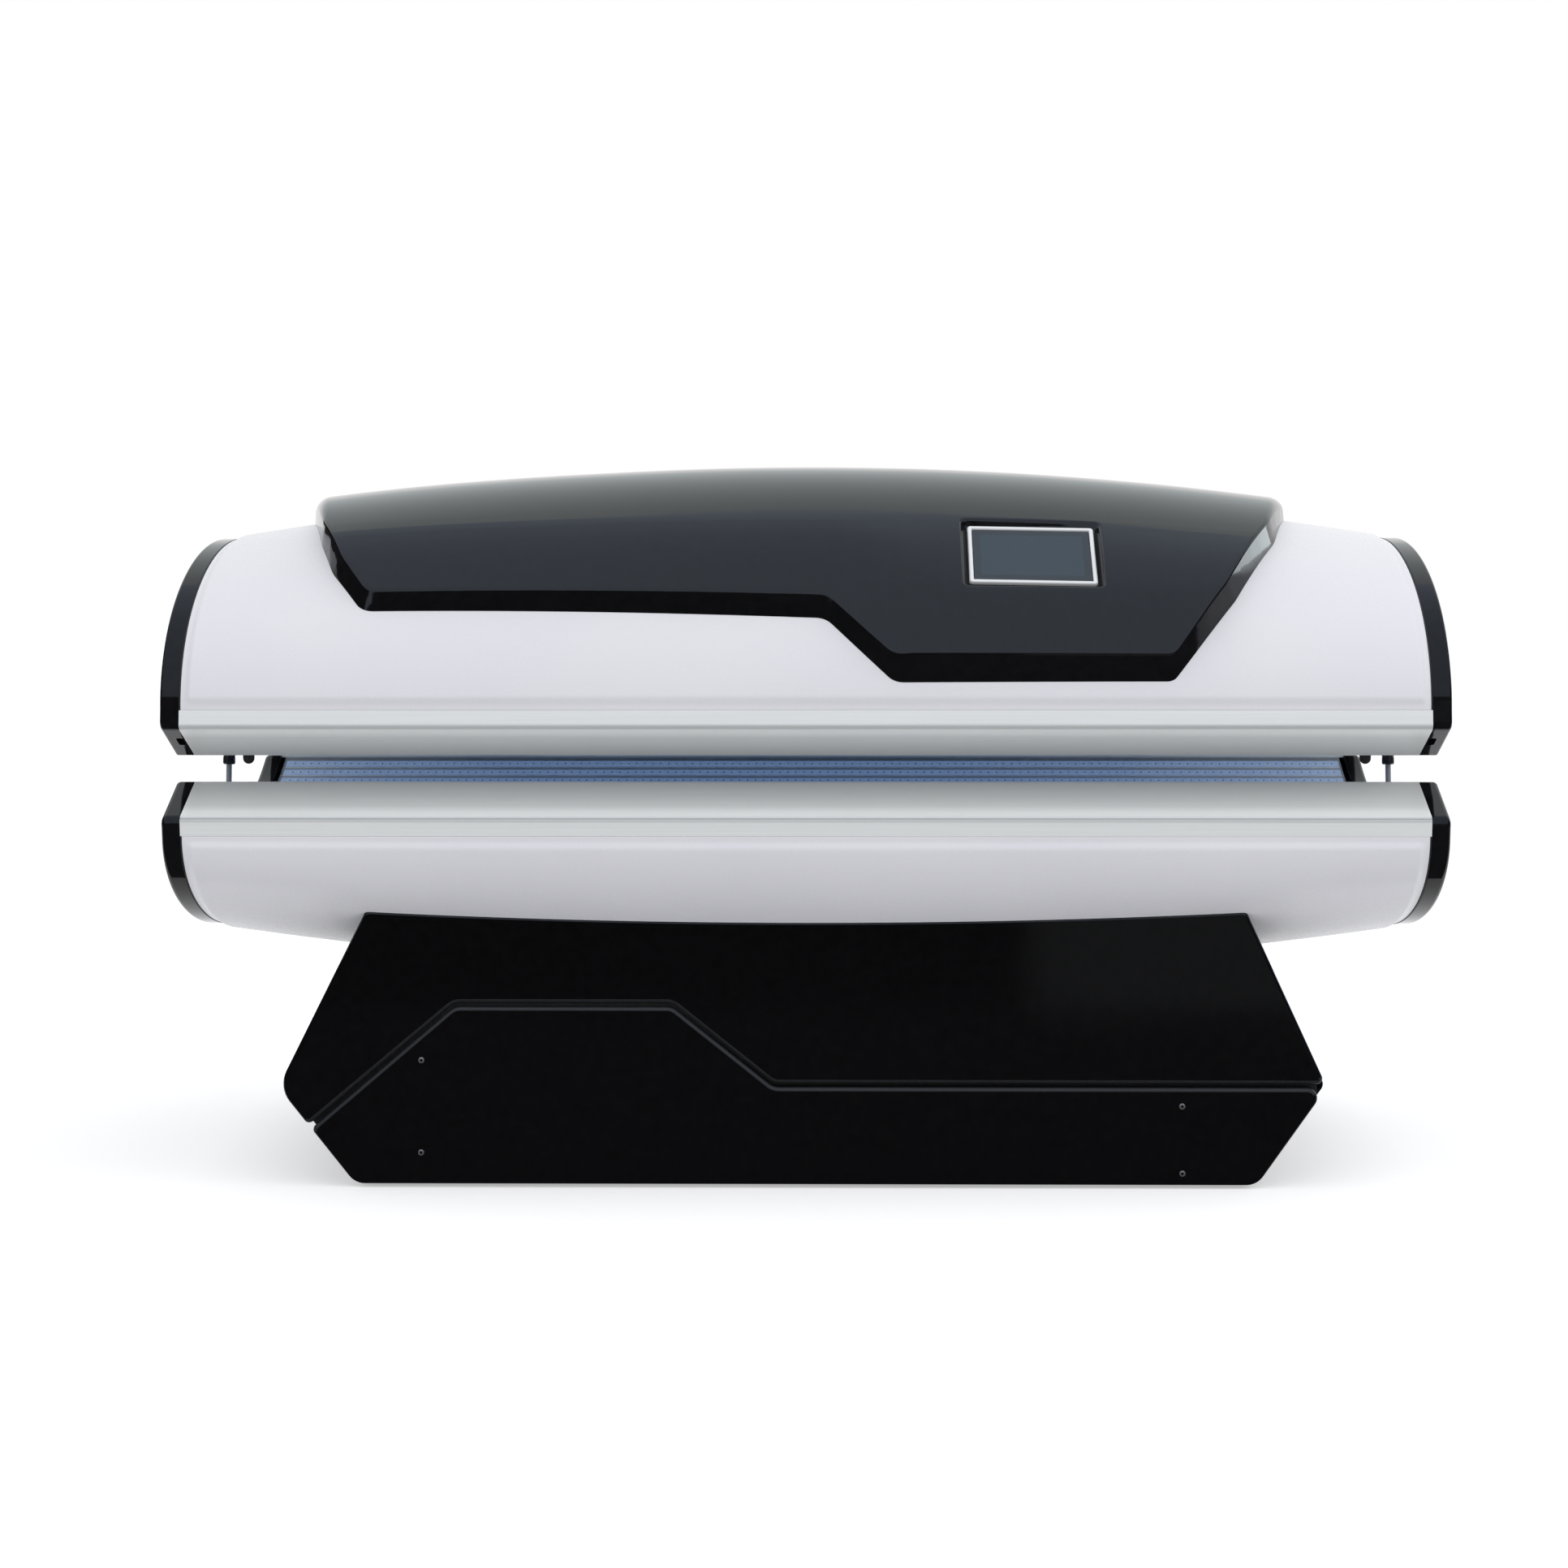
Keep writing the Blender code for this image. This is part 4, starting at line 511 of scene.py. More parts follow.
def rail_finish():
    """Anodised rail aluminium with light and shade painted in by the reach off the parting plane: painted
    shade towards the lip and in the groove along the nose, and a painted highlight on the slope just short of
    the nose.
    """
    material = drawn_metal_finish("satin_aluminium", (0.88, 0.905, 0.895), (0.93, 0.945, 0.935), 0.30, 0.40,
                                  metallic=0.1)
    # Painted light and shade: a grey ramp by the reach off the parting plane, multiplied into the colour
    place = add_node(material, "TexCoord")
    split = add_node(material, "SeparateXYZ")
    connect(material, place.outputs["Object"], split.inputs["Vector"])
    height = maths(material, "SUBTRACT", split.outputs["Z"], PARTING_Z)
    reach = maths(material, "ABSOLUTE", height)
    spread = add_node(material, "MapRange", from_min=LIP_REACH, from_max=SEAM_REACH)
    connect(material, reach, spread.inputs["Value"])
    stops = [(share, (tone, tone, tone)) for share, tone in RAIL_PAINTED_LIGHT_AND_SHADE]
    shade = tone_ramp(material, spread.outputs["Result"], stops)
    blend = add_node(material, "Mix")
    blend.data_type = "RGBA"
    blend.blend_type = "MULTIPLY"
    blend.inputs["Factor"].default_value = 1.0
    base_colour = shader_of(material).inputs["Base Color"]
    connect(material, base_colour.links[0].from_socket, blend.inputs[6])
    connect(material, shade, blend.inputs[7])
    connect(material, blend.outputs[2], base_colour)
    return material


def acrylic_finish():
    material = new_finish("acrylic", (0.80, 0.87, 0.93), 0.04)
    shader = shader_of(material)
    shader.inputs["Alpha"].default_value = 0.16
    shader.inputs["IOR"].default_value = 1.49
    polish(material, grain(material, 14.0), 0.03, 0.07)
    material.surface_render_method = "BLENDED"
    return material


def plain_finish(name, first, second, roughness, scale, metallic=0.0, bump=0.05):
    """A moulded or cast finish: speckled tone, uneven polish and a fine relief."""
    material = new_finish(name, first, roughness, metallic=metallic)
    speckle = grain(material, scale)
    tint(material, speckle, first, second)
    polish(material, speckle, roughness * 0.85, roughness * 1.2)
    relief(material, speckle, bump, 0.0003)
    return material


def painted_glow_led_board_finish():
    """Blue lamp boards with a faint painted glow: emission that brightens them, though the boards are no
    lamp.
    """
    material = plain_finish("led_board", (0.19, 0.29, 0.47), (0.24, 0.34, 0.53), 0.40, 90.0)
    shader = shader_of(material)
    # Painted glow: the boards give off a little light of their own
    shader.inputs["Emission Color"].default_value = (0.24, 0.40, 0.72, 1.0)
    shader.inputs["Emission Strength"].default_value = 0.32
    return material


# Gloss blacks: specular level and tone
GLOSS_BLACKS = {
    "black_gloss": (0.5, 0.003),
    "cap_gloss": (0.30, 0.004),
    "base_gloss": (0.45, 0.002),
}
# Drawn metals: two tones, least and most roughness, metallic
DRAWN_METALS = {
    "ridge_aluminium": ((0.74, 0.75, 0.76), (0.82, 0.83, 0.84), 0.25, 0.38, 0.4),
    "rib_aluminium": ((0.30, 0.31, 0.33), (0.36, 0.37, 0.39), 0.40, 0.52),
    "chrome": ((0.78, 0.79, 0.80), (0.84, 0.85, 0.86), 0.06, 0.12),
    "rod_steel": ((0.30, 0.31, 0.32), (0.36, 0.37, 0.38), 0.30, 0.40, 0.2),
    "silver_bezel": ((0.82, 0.82, 0.81), (0.87, 0.87, 0.86), 0.18, 0.26, 0.25),
    "supply_case": ((0.50, 0.51, 0.52), (0.58, 0.59, 0.60), 0.35, 0.48),
}
# Moulded and cast finishes: two tones, roughness, scale of the speckle, metallic, strength of the relief
PLAIN_FINISHES = {
    # Painted sheen: a lighter satin for the groove's rounded edges, standing in for the light reflected along
    # them
    "groove_painted_sheen": ((0.015, 0.0155, 0.017), (0.019, 0.0195, 0.021), 0.42, 200.0),
    "led_tray": ((0.045, 0.055, 0.075), (0.06, 0.07, 0.09), 0.5, 120.0),
    "lamp_white": ((0.82, 0.82, 0.76), (0.88, 0.87, 0.80), 0.35, 200.0),
    "lamp_dark": ((0.02, 0.02, 0.025), (0.05, 0.035, 0.03), 0.25, 200.0),
    "frame_metal": ((0.028, 0.028, 0.030), (0.045, 0.045, 0.047), 0.42, 160.0, 0.5),
    "black_steel": ((0.015, 0.015, 0.016), (0.026, 0.026, 0.028), 0.22, 120.0, 0.3),
    "screw_steel": ((0.20, 0.20, 0.205), (0.26, 0.26, 0.265), 0.22, 200.0, 0.6),
    "rubber": ((0.014, 0.014, 0.014), (0.024, 0.024, 0.024), 0.65, 300.0, 0.0, 0.2),
    "screen_glass": ((0.028, 0.034, 0.041), (0.031, 0.037, 0.044), 0.06, 30.0, 0.0, 0.0),
    "display": ((0.029, 0.044, 0.056), (0.033, 0.049, 0.062), 0.09, 400.0, 0.0, 0.0),
    "black_plastic": ((0.016, 0.016, 0.017), (0.024, 0.024, 0.026), 0.40, 350.0, 0.0, 0.12),
}
FINISH = {
    "white_shell": white_shell_finish(),
    "satin_aluminium": rail_finish(),
    "acrylic": acrylic_finish(),
    "led_board": painted_glow_led_board_finish(),
}
FINISH.update({name: gloss_black_finish(name, *row) for name, row in GLOSS_BLACKS.items()})
FINISH.update({name: drawn_metal_finish(name, *row) for name, row in DRAWN_METALS.items()})
FINISH.update({name: plain_finish(name, *row) for name, row in PLAIN_FINISHES.items()})


# Pieces

def to_mesh(name, shape):
    """Write a shape to a new mesh and let the shape go."""
    mesh = bpy.data.meshes.new(name)
    shape.to_mesh(mesh)
    shape.free()
    return mesh


def add_object(name, data):
    item = bpy.data.objects.new(name, data)
    bpy.context.scene.collection.objects.link(item)
    return item


def even_shade(piece):
    weigh = piece.modifiers.new("even_shade", "WEIGHTED_NORMAL")
    weigh.keep_sharp = True


def smooth_between_creases(mesh, crease):
    mesh.shade_smooth()
    mesh.set_sharp_from_angle(angle=math.radians(crease))


def sharpen_rims(mesh):
    """Mark the open edges of a sheet sharp, so that its wall's rim isn't shaded with its face."""
    uses = [0] * len(mesh.edges)
    for loop in mesh.loops:
        uses[loop.edge_index] += 1
    for edge, count in zip(mesh.edges, uses):
        if count == 1:
            edge.use_edge_sharp = True


def add_piece(name, shape, finishes, body, nodes=(), crease=CREASE_ANGLE, wall=0.0, even=False):
    """A finished piece on its body: doubles merged, faces outward, smooth between its creases."""
    bmesh.ops.remove_doubles(shape, verts=shape.verts, dist=MERGE)
    if not wall:
        bmesh.ops.recalc_face_normals(shape, faces=shape.faces)
    mesh = to_mesh(name, shape)
    names = [finishes] if isinstance(finishes, str) else finishes
    for finish in names:
        mesh.materials.append(FINISH[finish])
    smooth_between_creases(mesh, crease)
    piece = add_object(name, mesh)
    if wall:
        sharpen_rims(mesh)
        solidify = piece.modifiers.new("wall", "SOLIDIFY")
        solidify.thickness = wall
        solidify.offset = -1.0
        solidify.use_even_offset = even
    even_shade(piece)
    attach(piece, body)
    if nodes:
        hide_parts(*nodes)
    return piece


def grown_verts(grown):
    return [item for item in grown["geom"] if isinstance(item, bmesh.types.BMVert)]


def rounded(corners, steps=4):
    """A closed outline from (a, b, radius) corners, each radius an arc of a few steps."""
    outline = []
    count = len(corners)
    for index, (a, b, radius) in enumerate(corners):
        here = Vector((a, b))
        if radius <= 0:
            outline.append(here)
            continue
        back = (Vector(corners[index - 1][:2]) - here).normalized()
        ahead = (Vector(corners[(index + 1) % count][:2]) - here).normalized()
        half = back.angle(ahead) / 2
        centre = here + (back + ahead).normalized() * (radius / math.sin(half))
        first = here + back * (radius / math.tan(half)) - centre
        last = here + ahead * (radius / math.tan(half)) - centre
        sweep = first.angle_signed(last)
        for step in range(steps + 1):
            outline.append(centre + Matrix.Rotation(-sweep * step / steps, 2) @ first)
    return outline


def rectangle(width, height, radius=0.0, steps=5):
    corners = [(side_a * width / 2, side_b * height / 2, radius)
               for side_a, side_b in ((-1, -1), (1, -1), (1, 1), (-1, 1))]
    return rounded(corners, steps)


ACROSS = Matrix(((0, 0, 1, 0), (1, 0, 0, 0), (0, 1, 0, 0), (0, 0, 0, 1)))
UPRIGHT = Matrix(((1, 0, 0, 0), (0, 0, -1, 0), (0, 1, 0, 0), (0, 0, 0, 1)))


def plate(outline, plane, start, thickness):
    """A flat outline drawn on a plane and extruded along the plane's own z."""
    shape = bmesh.new()
    face = shape.faces.new([shape.verts.new((a, b, start)) for a, b in outline])
    grown = bmesh.ops.extrude_face_region(shape, geom=[face])
    bmesh.ops.translate(shape, vec=(0, 0, thickness), verts=grown_verts(grown))
    shape.transform(plane)
    bmesh.ops.recalc_face_normals(shape, faces=shape.faces)
    return shape


def round_rim(shape, keep, radius, segments=4, sharp=30, clamp=True):
    """Round the sharp edges whose two ends both pass the test."""
    rims = [edge for edge in shape.edges
            if edge.is_manifold and edge.calc_face_angle() > math.radians(sharp)
            and keep(edge.verts[0].co) and keep(edge.verts[1].co)]
    bmesh.ops.bevel(shape, geom=rims, offset=radius, segments=segments, profile=0.5,
                    affect="EDGES", clamp_overlap=clamp, material=-1)


def strip(path, low, high):
    """A (y, z) path drawn along X."""
    shape = bmesh.new()
    verts = [shape.verts.new((low, y, z)) for y, z in path]
    edges = [shape.edges.new(pair) for pair in zip(verts, verts[1:])]
    grown = bmesh.ops.extrude_edge_only(shape, edges=edges)
    bmesh.ops.translate(shape, vec=(high - low, 0, 0), verts=grown_verts(grown))
    return shape


def closed_edges(shape, verts):
    """The edges of a closed loop of verts."""
    return [shape.edges.new(pair) for pair in zip(verts, verts[1:] + verts[:1])]


def turn_out(shape, outward):
    """Turn a sheet's faces to the side on which a measure of them has a positive sum."""
    bmesh.ops.recalc_face_normals(shape, faces=shape.faces)
    if sum(outward(face) for face in shape.faces) < 0:
        bmesh.ops.reverse_faces(shape, faces=shape.faces)


def face_out(shape, inside):
    """Turn an open strip's faces away from a (y, z) point inside it."""
    centre = Vector((0, *inside))

    def outward(face):
        away = face.calc_center_median() - centre
        return (face.normal.y * away.y + face.normal.z * away.z) * face.calc_area()

    turn_out(shape, outward)


def slice_at(shape, place, way, snap):
    bmesh.ops.bisect_plane(shape, geom=shape.verts[:] + shape.edges[:] + shape.faces[:], dist=snap,
                           plane_co=place, plane_no=way)


def turned(profile, place, steps=32):
    """A (radius, height) profile spun about its own z and set in its place."""
    shape = bmesh.new()
    verts = [shape.verts.new((radius, 0, height)) for radius, height in profile]
    for pair in zip(verts, verts[1:]):
        shape.edges.new(pair)
    bmesh.ops.spin(shape, geom=shape.verts[:] + shape.edges[:], cent=(0, 0, 0), axis=(0, 0, 1),
                   dvec=(0, 0, 0), angle=2 * math.pi, steps=steps, use_merge=True)
    bmesh.ops.remove_doubles(shape, verts=shape.verts, dist=MERGE)
    bmesh.ops.recalc_face_normals(shape, faces=shape.faces)
    shape.transform(place)
    return shape


def join(shape, other):
    """Add another shape's mesh to a shape."""
    holder = to_mesh("join", other)
    shape.from_mesh(holder)
    bpy.data.meshes.remove(holder)


def ease(value):
    value = min(max(value, 0.0), 1.0)
    return value * value * (3 - 2 * value)


def line_distance(spot, corners):
    """How far a flat spot lies from a line of corners."""
    near = []
    for first, second in zip(corners, corners[1:]):
        run = second - first
        share = min(max((spot - first).dot(run) / run.length_squared, 0.0), 1.0)
        near.append((spot - first - run * share).length)
    return min(near)


# The crowned shells

def shell_point(side, x, angle):
    crown = CROWN[side] * (1 - (x / SHELL_HALF) ** 2)
    swell = max(math.sin(angle), 0.0)
    reach = SEAM_REACH + RISE[side] * swell + crown * swell ** CROWN_POWER
    return Vector((x, -SHELL_Y * math.cos(angle), PARTING_Z + side * reach))


def shell_normal(side, x, angle):
    nudge = 0.0005
    low = max(angle - nudge, 0.0)
    high = min(angle + nudge, math.pi)
    along = shell_point(side, x + nudge, angle) - shell_point(side, x - nudge, angle)
    around = shell_point(side, x, high) - shell_point(side, x, low)
    return along.cross(around).normalized() * side


def shell_lift(side, x, angle, lift):
    return shell_point(side, x, angle) + shell_normal(side, x, angle) * lift


def close_rows(low, high, margin, margin_cuts, cuts):
    """Places from low to high, closer together within a margin of both ends."""
    rows = [low + margin * step / margin_cuts for step in range(margin_cuts)]
    rows += [low + margin + (high - low - 2 * margin) * step / cuts for step in range(cuts)]
    rows += [high - margin + margin * step / margin_cuts for step in range(margin_cuts + 1)]
    return rows


def pillow(side, x, angle):
    """How far the shell stands proud of its flat margin."""
    from_cap = SHELL_HALF - abs(x)
    from_rail = RISE[side] * min(angle, math.pi - angle)
    share = ease((from_cap - PILLOW_MARGIN) / PILLOW_SLOPE) * ease((from_rail - PILLOW_MARGIN) / PILLOW_SLOPE)
    return PILLOW_HEIGHT * share


def make_shell(side):
    margin = PILLOW_MARGIN + PILLOW_SLOPE + PILLOW_SPARE
    xs = close_rows(-SHELL_HALF, SHELL_HALF, margin, MARGIN_CUTS, SHELL_X_CUTS)
    angles = close_rows(0.0, math.pi, margin / RISE[side], MARGIN_CUTS, SHELL_ANGLE_CUTS)
    shape = bmesh.new()
    bmesh.ops.create_grid(shape, x_segments=len(xs) - 1, y_segments=len(angles) - 1, size=0.5)
    for vert in shape.verts:
        x = xs[round((vert.co.x + 0.5) * (len(xs) - 1))]
        angle = angles[round((vert.co.y + 0.5) * (len(angles) - 1))]
        vert.co = shell_lift(side, x, angle, pillow(side, x, angle))
    turn_out(shape, lambda face: side * face.normal.z)
    name = HALF_OF[side] + "_shell"
    add_piece(name + "_skin", shape, "white_shell", BODY_OF[side], [name], wall=SHELL_WALL)


def rail_profile(side, facing, nose):
    """The (y, z) line of a rail's outer face; facing is -1 at the front and 1 at the rear."""
    corners = ([(LAND_Y, LAND_REACH, 0.0), (LIP_Y, LIP_REACH, LIP_RADIUS)] + nose
               + [(SHELL_Y, SEAM_REACH - CLEAR, 0.0)])
    return [Vector((facing * a, PARTING_Z + side * b)) for a, b in rounded(corners, RAIL_ARC_STEPS)]


def make_rails(side):
    """Rails with a shallow groove drawn along the nose."""
    nose = [(NOSE_Y - inward, NOSE_REACH + past, radius) for inward, past, radius in RAIL_NOSE]
    for word, facing in (("front", -1), ("rear", 1)):
        shape = strip(rail_profile(side, facing, nose), -SHELL_HALF, SHELL_HALF)
        face_out(shape, (facing * LAND_Y, PARTING_Z + side * SEAM_REACH))
        name = HALF_OF[side] + "_" + word + "_rail"
        add_piece(name + "_extrusion", shape, "satin_aluminium", BODY_OF[side], [name],
                  crease=RAIL_CREASE_ANGLE, wall=RAIL_WALL, even=True)


# End caps

def liner_section(side, offset, start=0.0, steps=LINER_STEPS):
    """The (y, z) path of the liner, front to rear, pushed outward by an offset."""
    path = []
    for step in range(steps + 1):
        if side == UPPER:
            half = LAND_Y - LINER_WALL - CLEAR
            turn = start + (math.pi - 2 * start) * step / steps
            foot = Vector((-half * math.cos(turn), LAND_REACH + CANOPY_LINER_RISE * math.sin(turn)))
            out = Vector((-math.cos(turn) / half, math.sin(turn) / CANOPY_LINER_RISE)).normalized()
        else:
            half = LAND_Y - CLEAR - LINER_WALL * math.sin(BED_EDGE_ANGLE)
            radius = half / math.sin(BED_EDGE_ANGLE)
            turn = (BED_EDGE_ANGLE - start) * (2 * step / steps - 1)
            dip = radius * (math.cos(turn) - math.cos(BED_EDGE_ANGLE))
            foot = Vector((radius * math.sin(turn), LAND_REACH + dip))
            out = Vector((math.sin(turn), math.cos(turn)))
        place = foot + out * offset
        path.append(Vector((place.x, PARTING_Z + side * place.y)))
    return path


def end_section(side, lift=0.0):
    """The (y, z) section of a shell at its end, front to rear."""
    section = []
    for step in range(CAP_STEPS + 1):
        point = shell_lift(side, SHELL_HALF, math.pi * step / CAP_STEPS, lift)
        section.append(Vector((point.y, point.z)))
    return section


def make_caps(side):
    nose = [(NOSE_Y, NOSE_REACH, NOSE_RADIUS)]
    outline = (rail_profile(side, -1, nose)[:-1] + end_section(side) + rail_profile(side, 1, nose)[:-1][::-1]
               + liner_section(side, 0.0, steps=CAP_STEPS)[::-1])
    for word, hand in (("left", -1), ("right", 1)):
        node = HALF_OF[side] + "_cap_" + word
        start = CAP_INNER_X if hand > 0 else -BED_LENGTH / 2
        shape = plate(outline, ACROSS, start, CAP_THICKNESS)
        outer = hand * BED_LENGTH / 2
        inner = hand * CAP_INNER_X
        round_rim(shape, lambda place: abs(place.x - outer) < ON_FACE, CAP_EDGE_RADIUS, segments=6)
        round_rim(shape, lambda place: abs(place.x - inner) < ON_FACE, CAP_INNER_RADIUS, segments=2)
        piece = add_piece(node + "_moulding", shape, "cap_gloss", BODY_OF[side], [node])
        if side == UPPER:
            carve(piece, cap_pocket(hand))
        gasket(side, word, hand)


def cap_pocket(hand):
    """The small pocket in the slope of an upper cap, beside the front rail."""
    slope = math.atan2(RAIL_RISE, RAIL_REACH)
    x = hand * (CAP_INNER_X + CAP_POCKET_FROM_SHELL + CAP_POCKET_WIDTH / 2)
    place = Matrix.Translation((x, -(LIP_Y + NOSE_Y) / 2, PARTING_Z + (LIP_REACH + NOSE_REACH) / 2))
    outline = rectangle(CAP_POCKET_WIDTH, CAP_POCKET_LENGTH, CAP_POCKET_RADIUS)
    return plate(outline, place @ Matrix.Rotation(-slope, 4, "X"), -CAP_POCKET_DEPTH, 2 * CAP_POCKET_DEPTH)


def carve(piece, cutter):
    """Cut a shape out of a piece's mesh with an exact boolean, then drop the cutter."""
    mesh = to_mesh("cutter", cutter)
    tool = add_object("cutter", mesh)
    piece.modifiers.remove(piece.modifiers["even_shade"])
    boolean = piece.modifiers.new("carve", "BOOLEAN")
    boolean.operation = "DIFFERENCE"
    boolean.solver = "EXACT"
    boolean.object = tool
    depsgraph = bpy.context.evaluated_depsgraph_get()
    carved = bpy.data.meshes.new_from_object(piece.evaluated_get(depsgraph))
    piece.modifiers.remove(boolean)
    piece.data = carved
    smooth_between_creases(carved, CREASE_ANGLE)
    bpy.data.objects.remove(tool, do_unlink=True)
    bpy.data.meshes.remove(mesh)
    even_shade(piece)


def gasket(side, word, hand):
    """The thin dark seal between a cap and its shell."""
    outer = end_section(side, GASKET_HEIGHT)
    inner = end_section(side, -GASKET_WIDTH)
    start = SHELL_HALF - GASKET_WIDTH if hand > 0 else -SHELL_HALF
    shape = plate(outer + inner[::-1], ACROSS, start, GASKET_WIDTH)
    add_piece(HALF_OF[side] + "_cap_seal_" + word, shape, "rubber", BODY_OF[side])


# Acrylic and the LED strips behind it

def slotted_sheet(side, offset, start=0.0):
    """A sheet along the liner's section, open at its ends where the struts run."""
    path = liner_section(side, offset, start, SHEET_STEPS)
    shape = strip(path, -LINER_HALF, LINER_HALF)
    near = STRUT_X - STRUT_TUBE_RADIUS - STRUT_SLOT_CLEAR
    low = STRUT_SLOT_Y - STRUT_SLOT_WIDTH / 2
    high = STRUT_SLOT_Y + STRUT_SLOT_WIDTH / 2
    for place, way in (((-near, 0, 0), (1, 0, 0)), ((near, 0, 0), (1, 0, 0)),
                       ((0, low, 0), (0, 1, 0)), ((0, high, 0), (0, 1, 0))):
        slice_at(shape, place, way, SLOT_SNAP)
    slots = []
    for face in shape.faces:
        middle = face.calc_center_median()
        if abs(middle.x) > near and low < middle.y < high:
            slots.append(face)
    bmesh.ops.delete(shape, geom=slots, context="FACES")
    face_out(shape, (0, PARTING_Z))
    return shape


def make_acrylic(side):
    name = BED_OF[side] + "_acrylic"
    add_piece(name + "_sheet", slotted_sheet(side, LINER_WALL), "acrylic", BODY_OF[side], [name],
              wall=LINER_WALL)
    carrier = slotted_sheet(side, LED_BACK + CARRIER_WALL, TRAY_START[side])
    add_piece(BED_OF[side] + "_led_carrier", carrier, "led_tray", BODY_OF[side], wall=CARRIER_WALL)


def led_rows(side):
    """Each LED row: its middle on the carrier, the way across it, its inward normal and its ridge's foot."""
    start = TRAY_START[side]
    back = liner_section(side, LED_BACK, start)
    length = sum((second - first).length for first, second in zip(back, back[1:]))
    count = int(length / LED_PITCH)
    floor = liner_section(side, LED_BACK, start, count)
    crest = liner_section(side, LED_BACK - RIDGE_HEIGHT, start, count)
    share = RIDGE_WIDTH / LED_PITCH
    rows = []
    for index in range(count):
        across = (floor[index + 1] - floor[index]).normalized()
        middle = floor[index].lerp(floor[index + 1], (1 + share) / 2)
        foot = floor[index].lerp(floor[index + 1], share / 2)
        toward = (crest[index] - floor[index]).normalized()
        rows.append((middle, across, toward, foot))
    return rows


def row_frame(middle, across, toward):
    """Local x along X, local y across the row, local z from the tray toward the acrylic."""
    frame_of_row = Matrix(((1, 0, 0), (0, across.x, across.y), (0, toward.x, toward.y))).transposed().to_4x4()
    frame_of_row.translation = (0, middle.x, middle.y)
    return frame_of_row


def bar(length, width, height):
    """A slim bar along X, standing on its row's own floor."""
    shape = bmesh.new()
    bmesh.ops.create_cube(shape, size=1.0)
    bmesh.ops.scale(shape, vec=(length, width, height), verts=shape.verts)
    bmesh.ops.translate(shape, vec=(0, 0, height / 2), verts=shape.verts)
    return shape


def row_half(middle):
    """Rows in the way of a strut are shorter."""
    if abs(middle.x - STRUT_SLOT_Y) < STRUT_SLOT_WIDTH / 2 + STRIP_SLOT_CLEAR:
        return STRIP_SHORT_HALF
    return LINER_HALF - STRIP_END_GAP


def lamp_run(half, shift):
    """A run of small tapered lamps along X."""
    shape = bmesh.new()
    count = int((half - LAMP_END_GAP) / LAMP_PITCH)
    for index in range(-count, count + 1):
        made = bmesh.ops.create_cube(shape, size=1.0)["verts"]
        top = [vert for vert in made if vert.co.z > 0]
        bmesh.ops.scale(shape, vec=(LAMP_TAPER, LAMP_TAPER, 1), verts=top)
        bmesh.ops.scale(shape, vec=(LAMP_SIZE, LAMP_SIZE, LAMP_HEIGHT), verts=made)
        bmesh.ops.translate(shape, vec=(index * LAMP_PITCH + shift, 0, BOARD_THICKNESS + LAMP_HEIGHT / 2),
                            verts=made)
    return shape


def make_leds(side):
    boards = bmesh.new()
    ridges = bmesh.new()
    white = bmesh.new()
    dark = bmesh.new()
    for middle, across, toward, foot in led_rows(side):
        place = row_frame(middle, across, toward)
        half = row_half(middle)
        board = bar(2 * half, BOARD_WIDTH, BOARD_THICKNESS)
        board.transform(place)
        join(boards, board)
        crown = bar(2 * half, RIDGE_WIDTH * RIDGE_BAR_SHARE, RIDGE_HEIGHT)
        crown.transform(row_frame(foot, across, toward))
        join(ridges, crown)
        for target, shift in ((white, -LAMP_PAIR / 2), (dark, LAMP_PAIR / 2)):
            run = lamp_run(half, shift)
            run.transform(place)
            join(target, run)
    name = BED_OF[side]
    body = BODY_OF[side]
    add_piece(name + "_led_boards", boards, "led_board", body)
    add_piece(name + "_led_ridge_trims", ridges, "ridge_aluminium", body)
    add_piece(name + "_led_lamps_white", white, "lamp_white", body)
    add_piece(name + "_led_lamps_dark", dark, "lamp_dark", body)


# Hood and touch screen

def hood_arc(turn):
    """Degrees round the shell as a length in the flat layout of the hood."""
    return math.radians(turn) * HOOD_ARC


def hood_lift(x, arc):
    """How far the hood's face stands off the shell: less along its stepped front edge."""
    front = [Vector((foot, hood_arc(turn))) for foot, turn, _, _, _ in HOOD_EDGE[:4]]
    near = line_distance(Vector((x, arc)), front)
    full = HOOD_LIFT + HOOD_END_LIFT * ease((-x - HOOD_END_START) / HOOD_END_RUN)
    return HOOD_EDGE_LIFT + (full - HOOD_EDGE_LIFT) * ease(near / HOOD_LIFT_RUN)


def screen_frame(sink):
    """Local x along the screen, local y up its slope, local z out of the hood."""
    out = shell_normal(UPPER, SCREEN_X, SCREEN_ANGLE)
    along = Vector((1, 0, 0))
    along = (along - out * along.dot(out)).normalized()
    up = out.cross(along)
    place = shell_lift(UPPER, SCREEN_X, SCREEN_ANGLE, HOOD_LIFT - sink)
    frame_of_screen = Matrix((along, up, out)).transposed().to_4x4()
    frame_of_screen.translation = place
    return frame_of_screen


def inside_recess(a, b):
    """How far a place on the screen's plane lies inside the recess's rounded edge."""
    over_a = abs(a) - RECESS_WIDTH / 2 + RECESS_RADIUS
    over_b = abs(b) - RECESS_HEIGHT / 2 + RECESS_RADIUS
    corner = math.hypot(max(over_a, 0.0), max(over_b, 0.0))
    return RECESS_RADIUS - corner - min(max(over_a, over_b), 0.0)


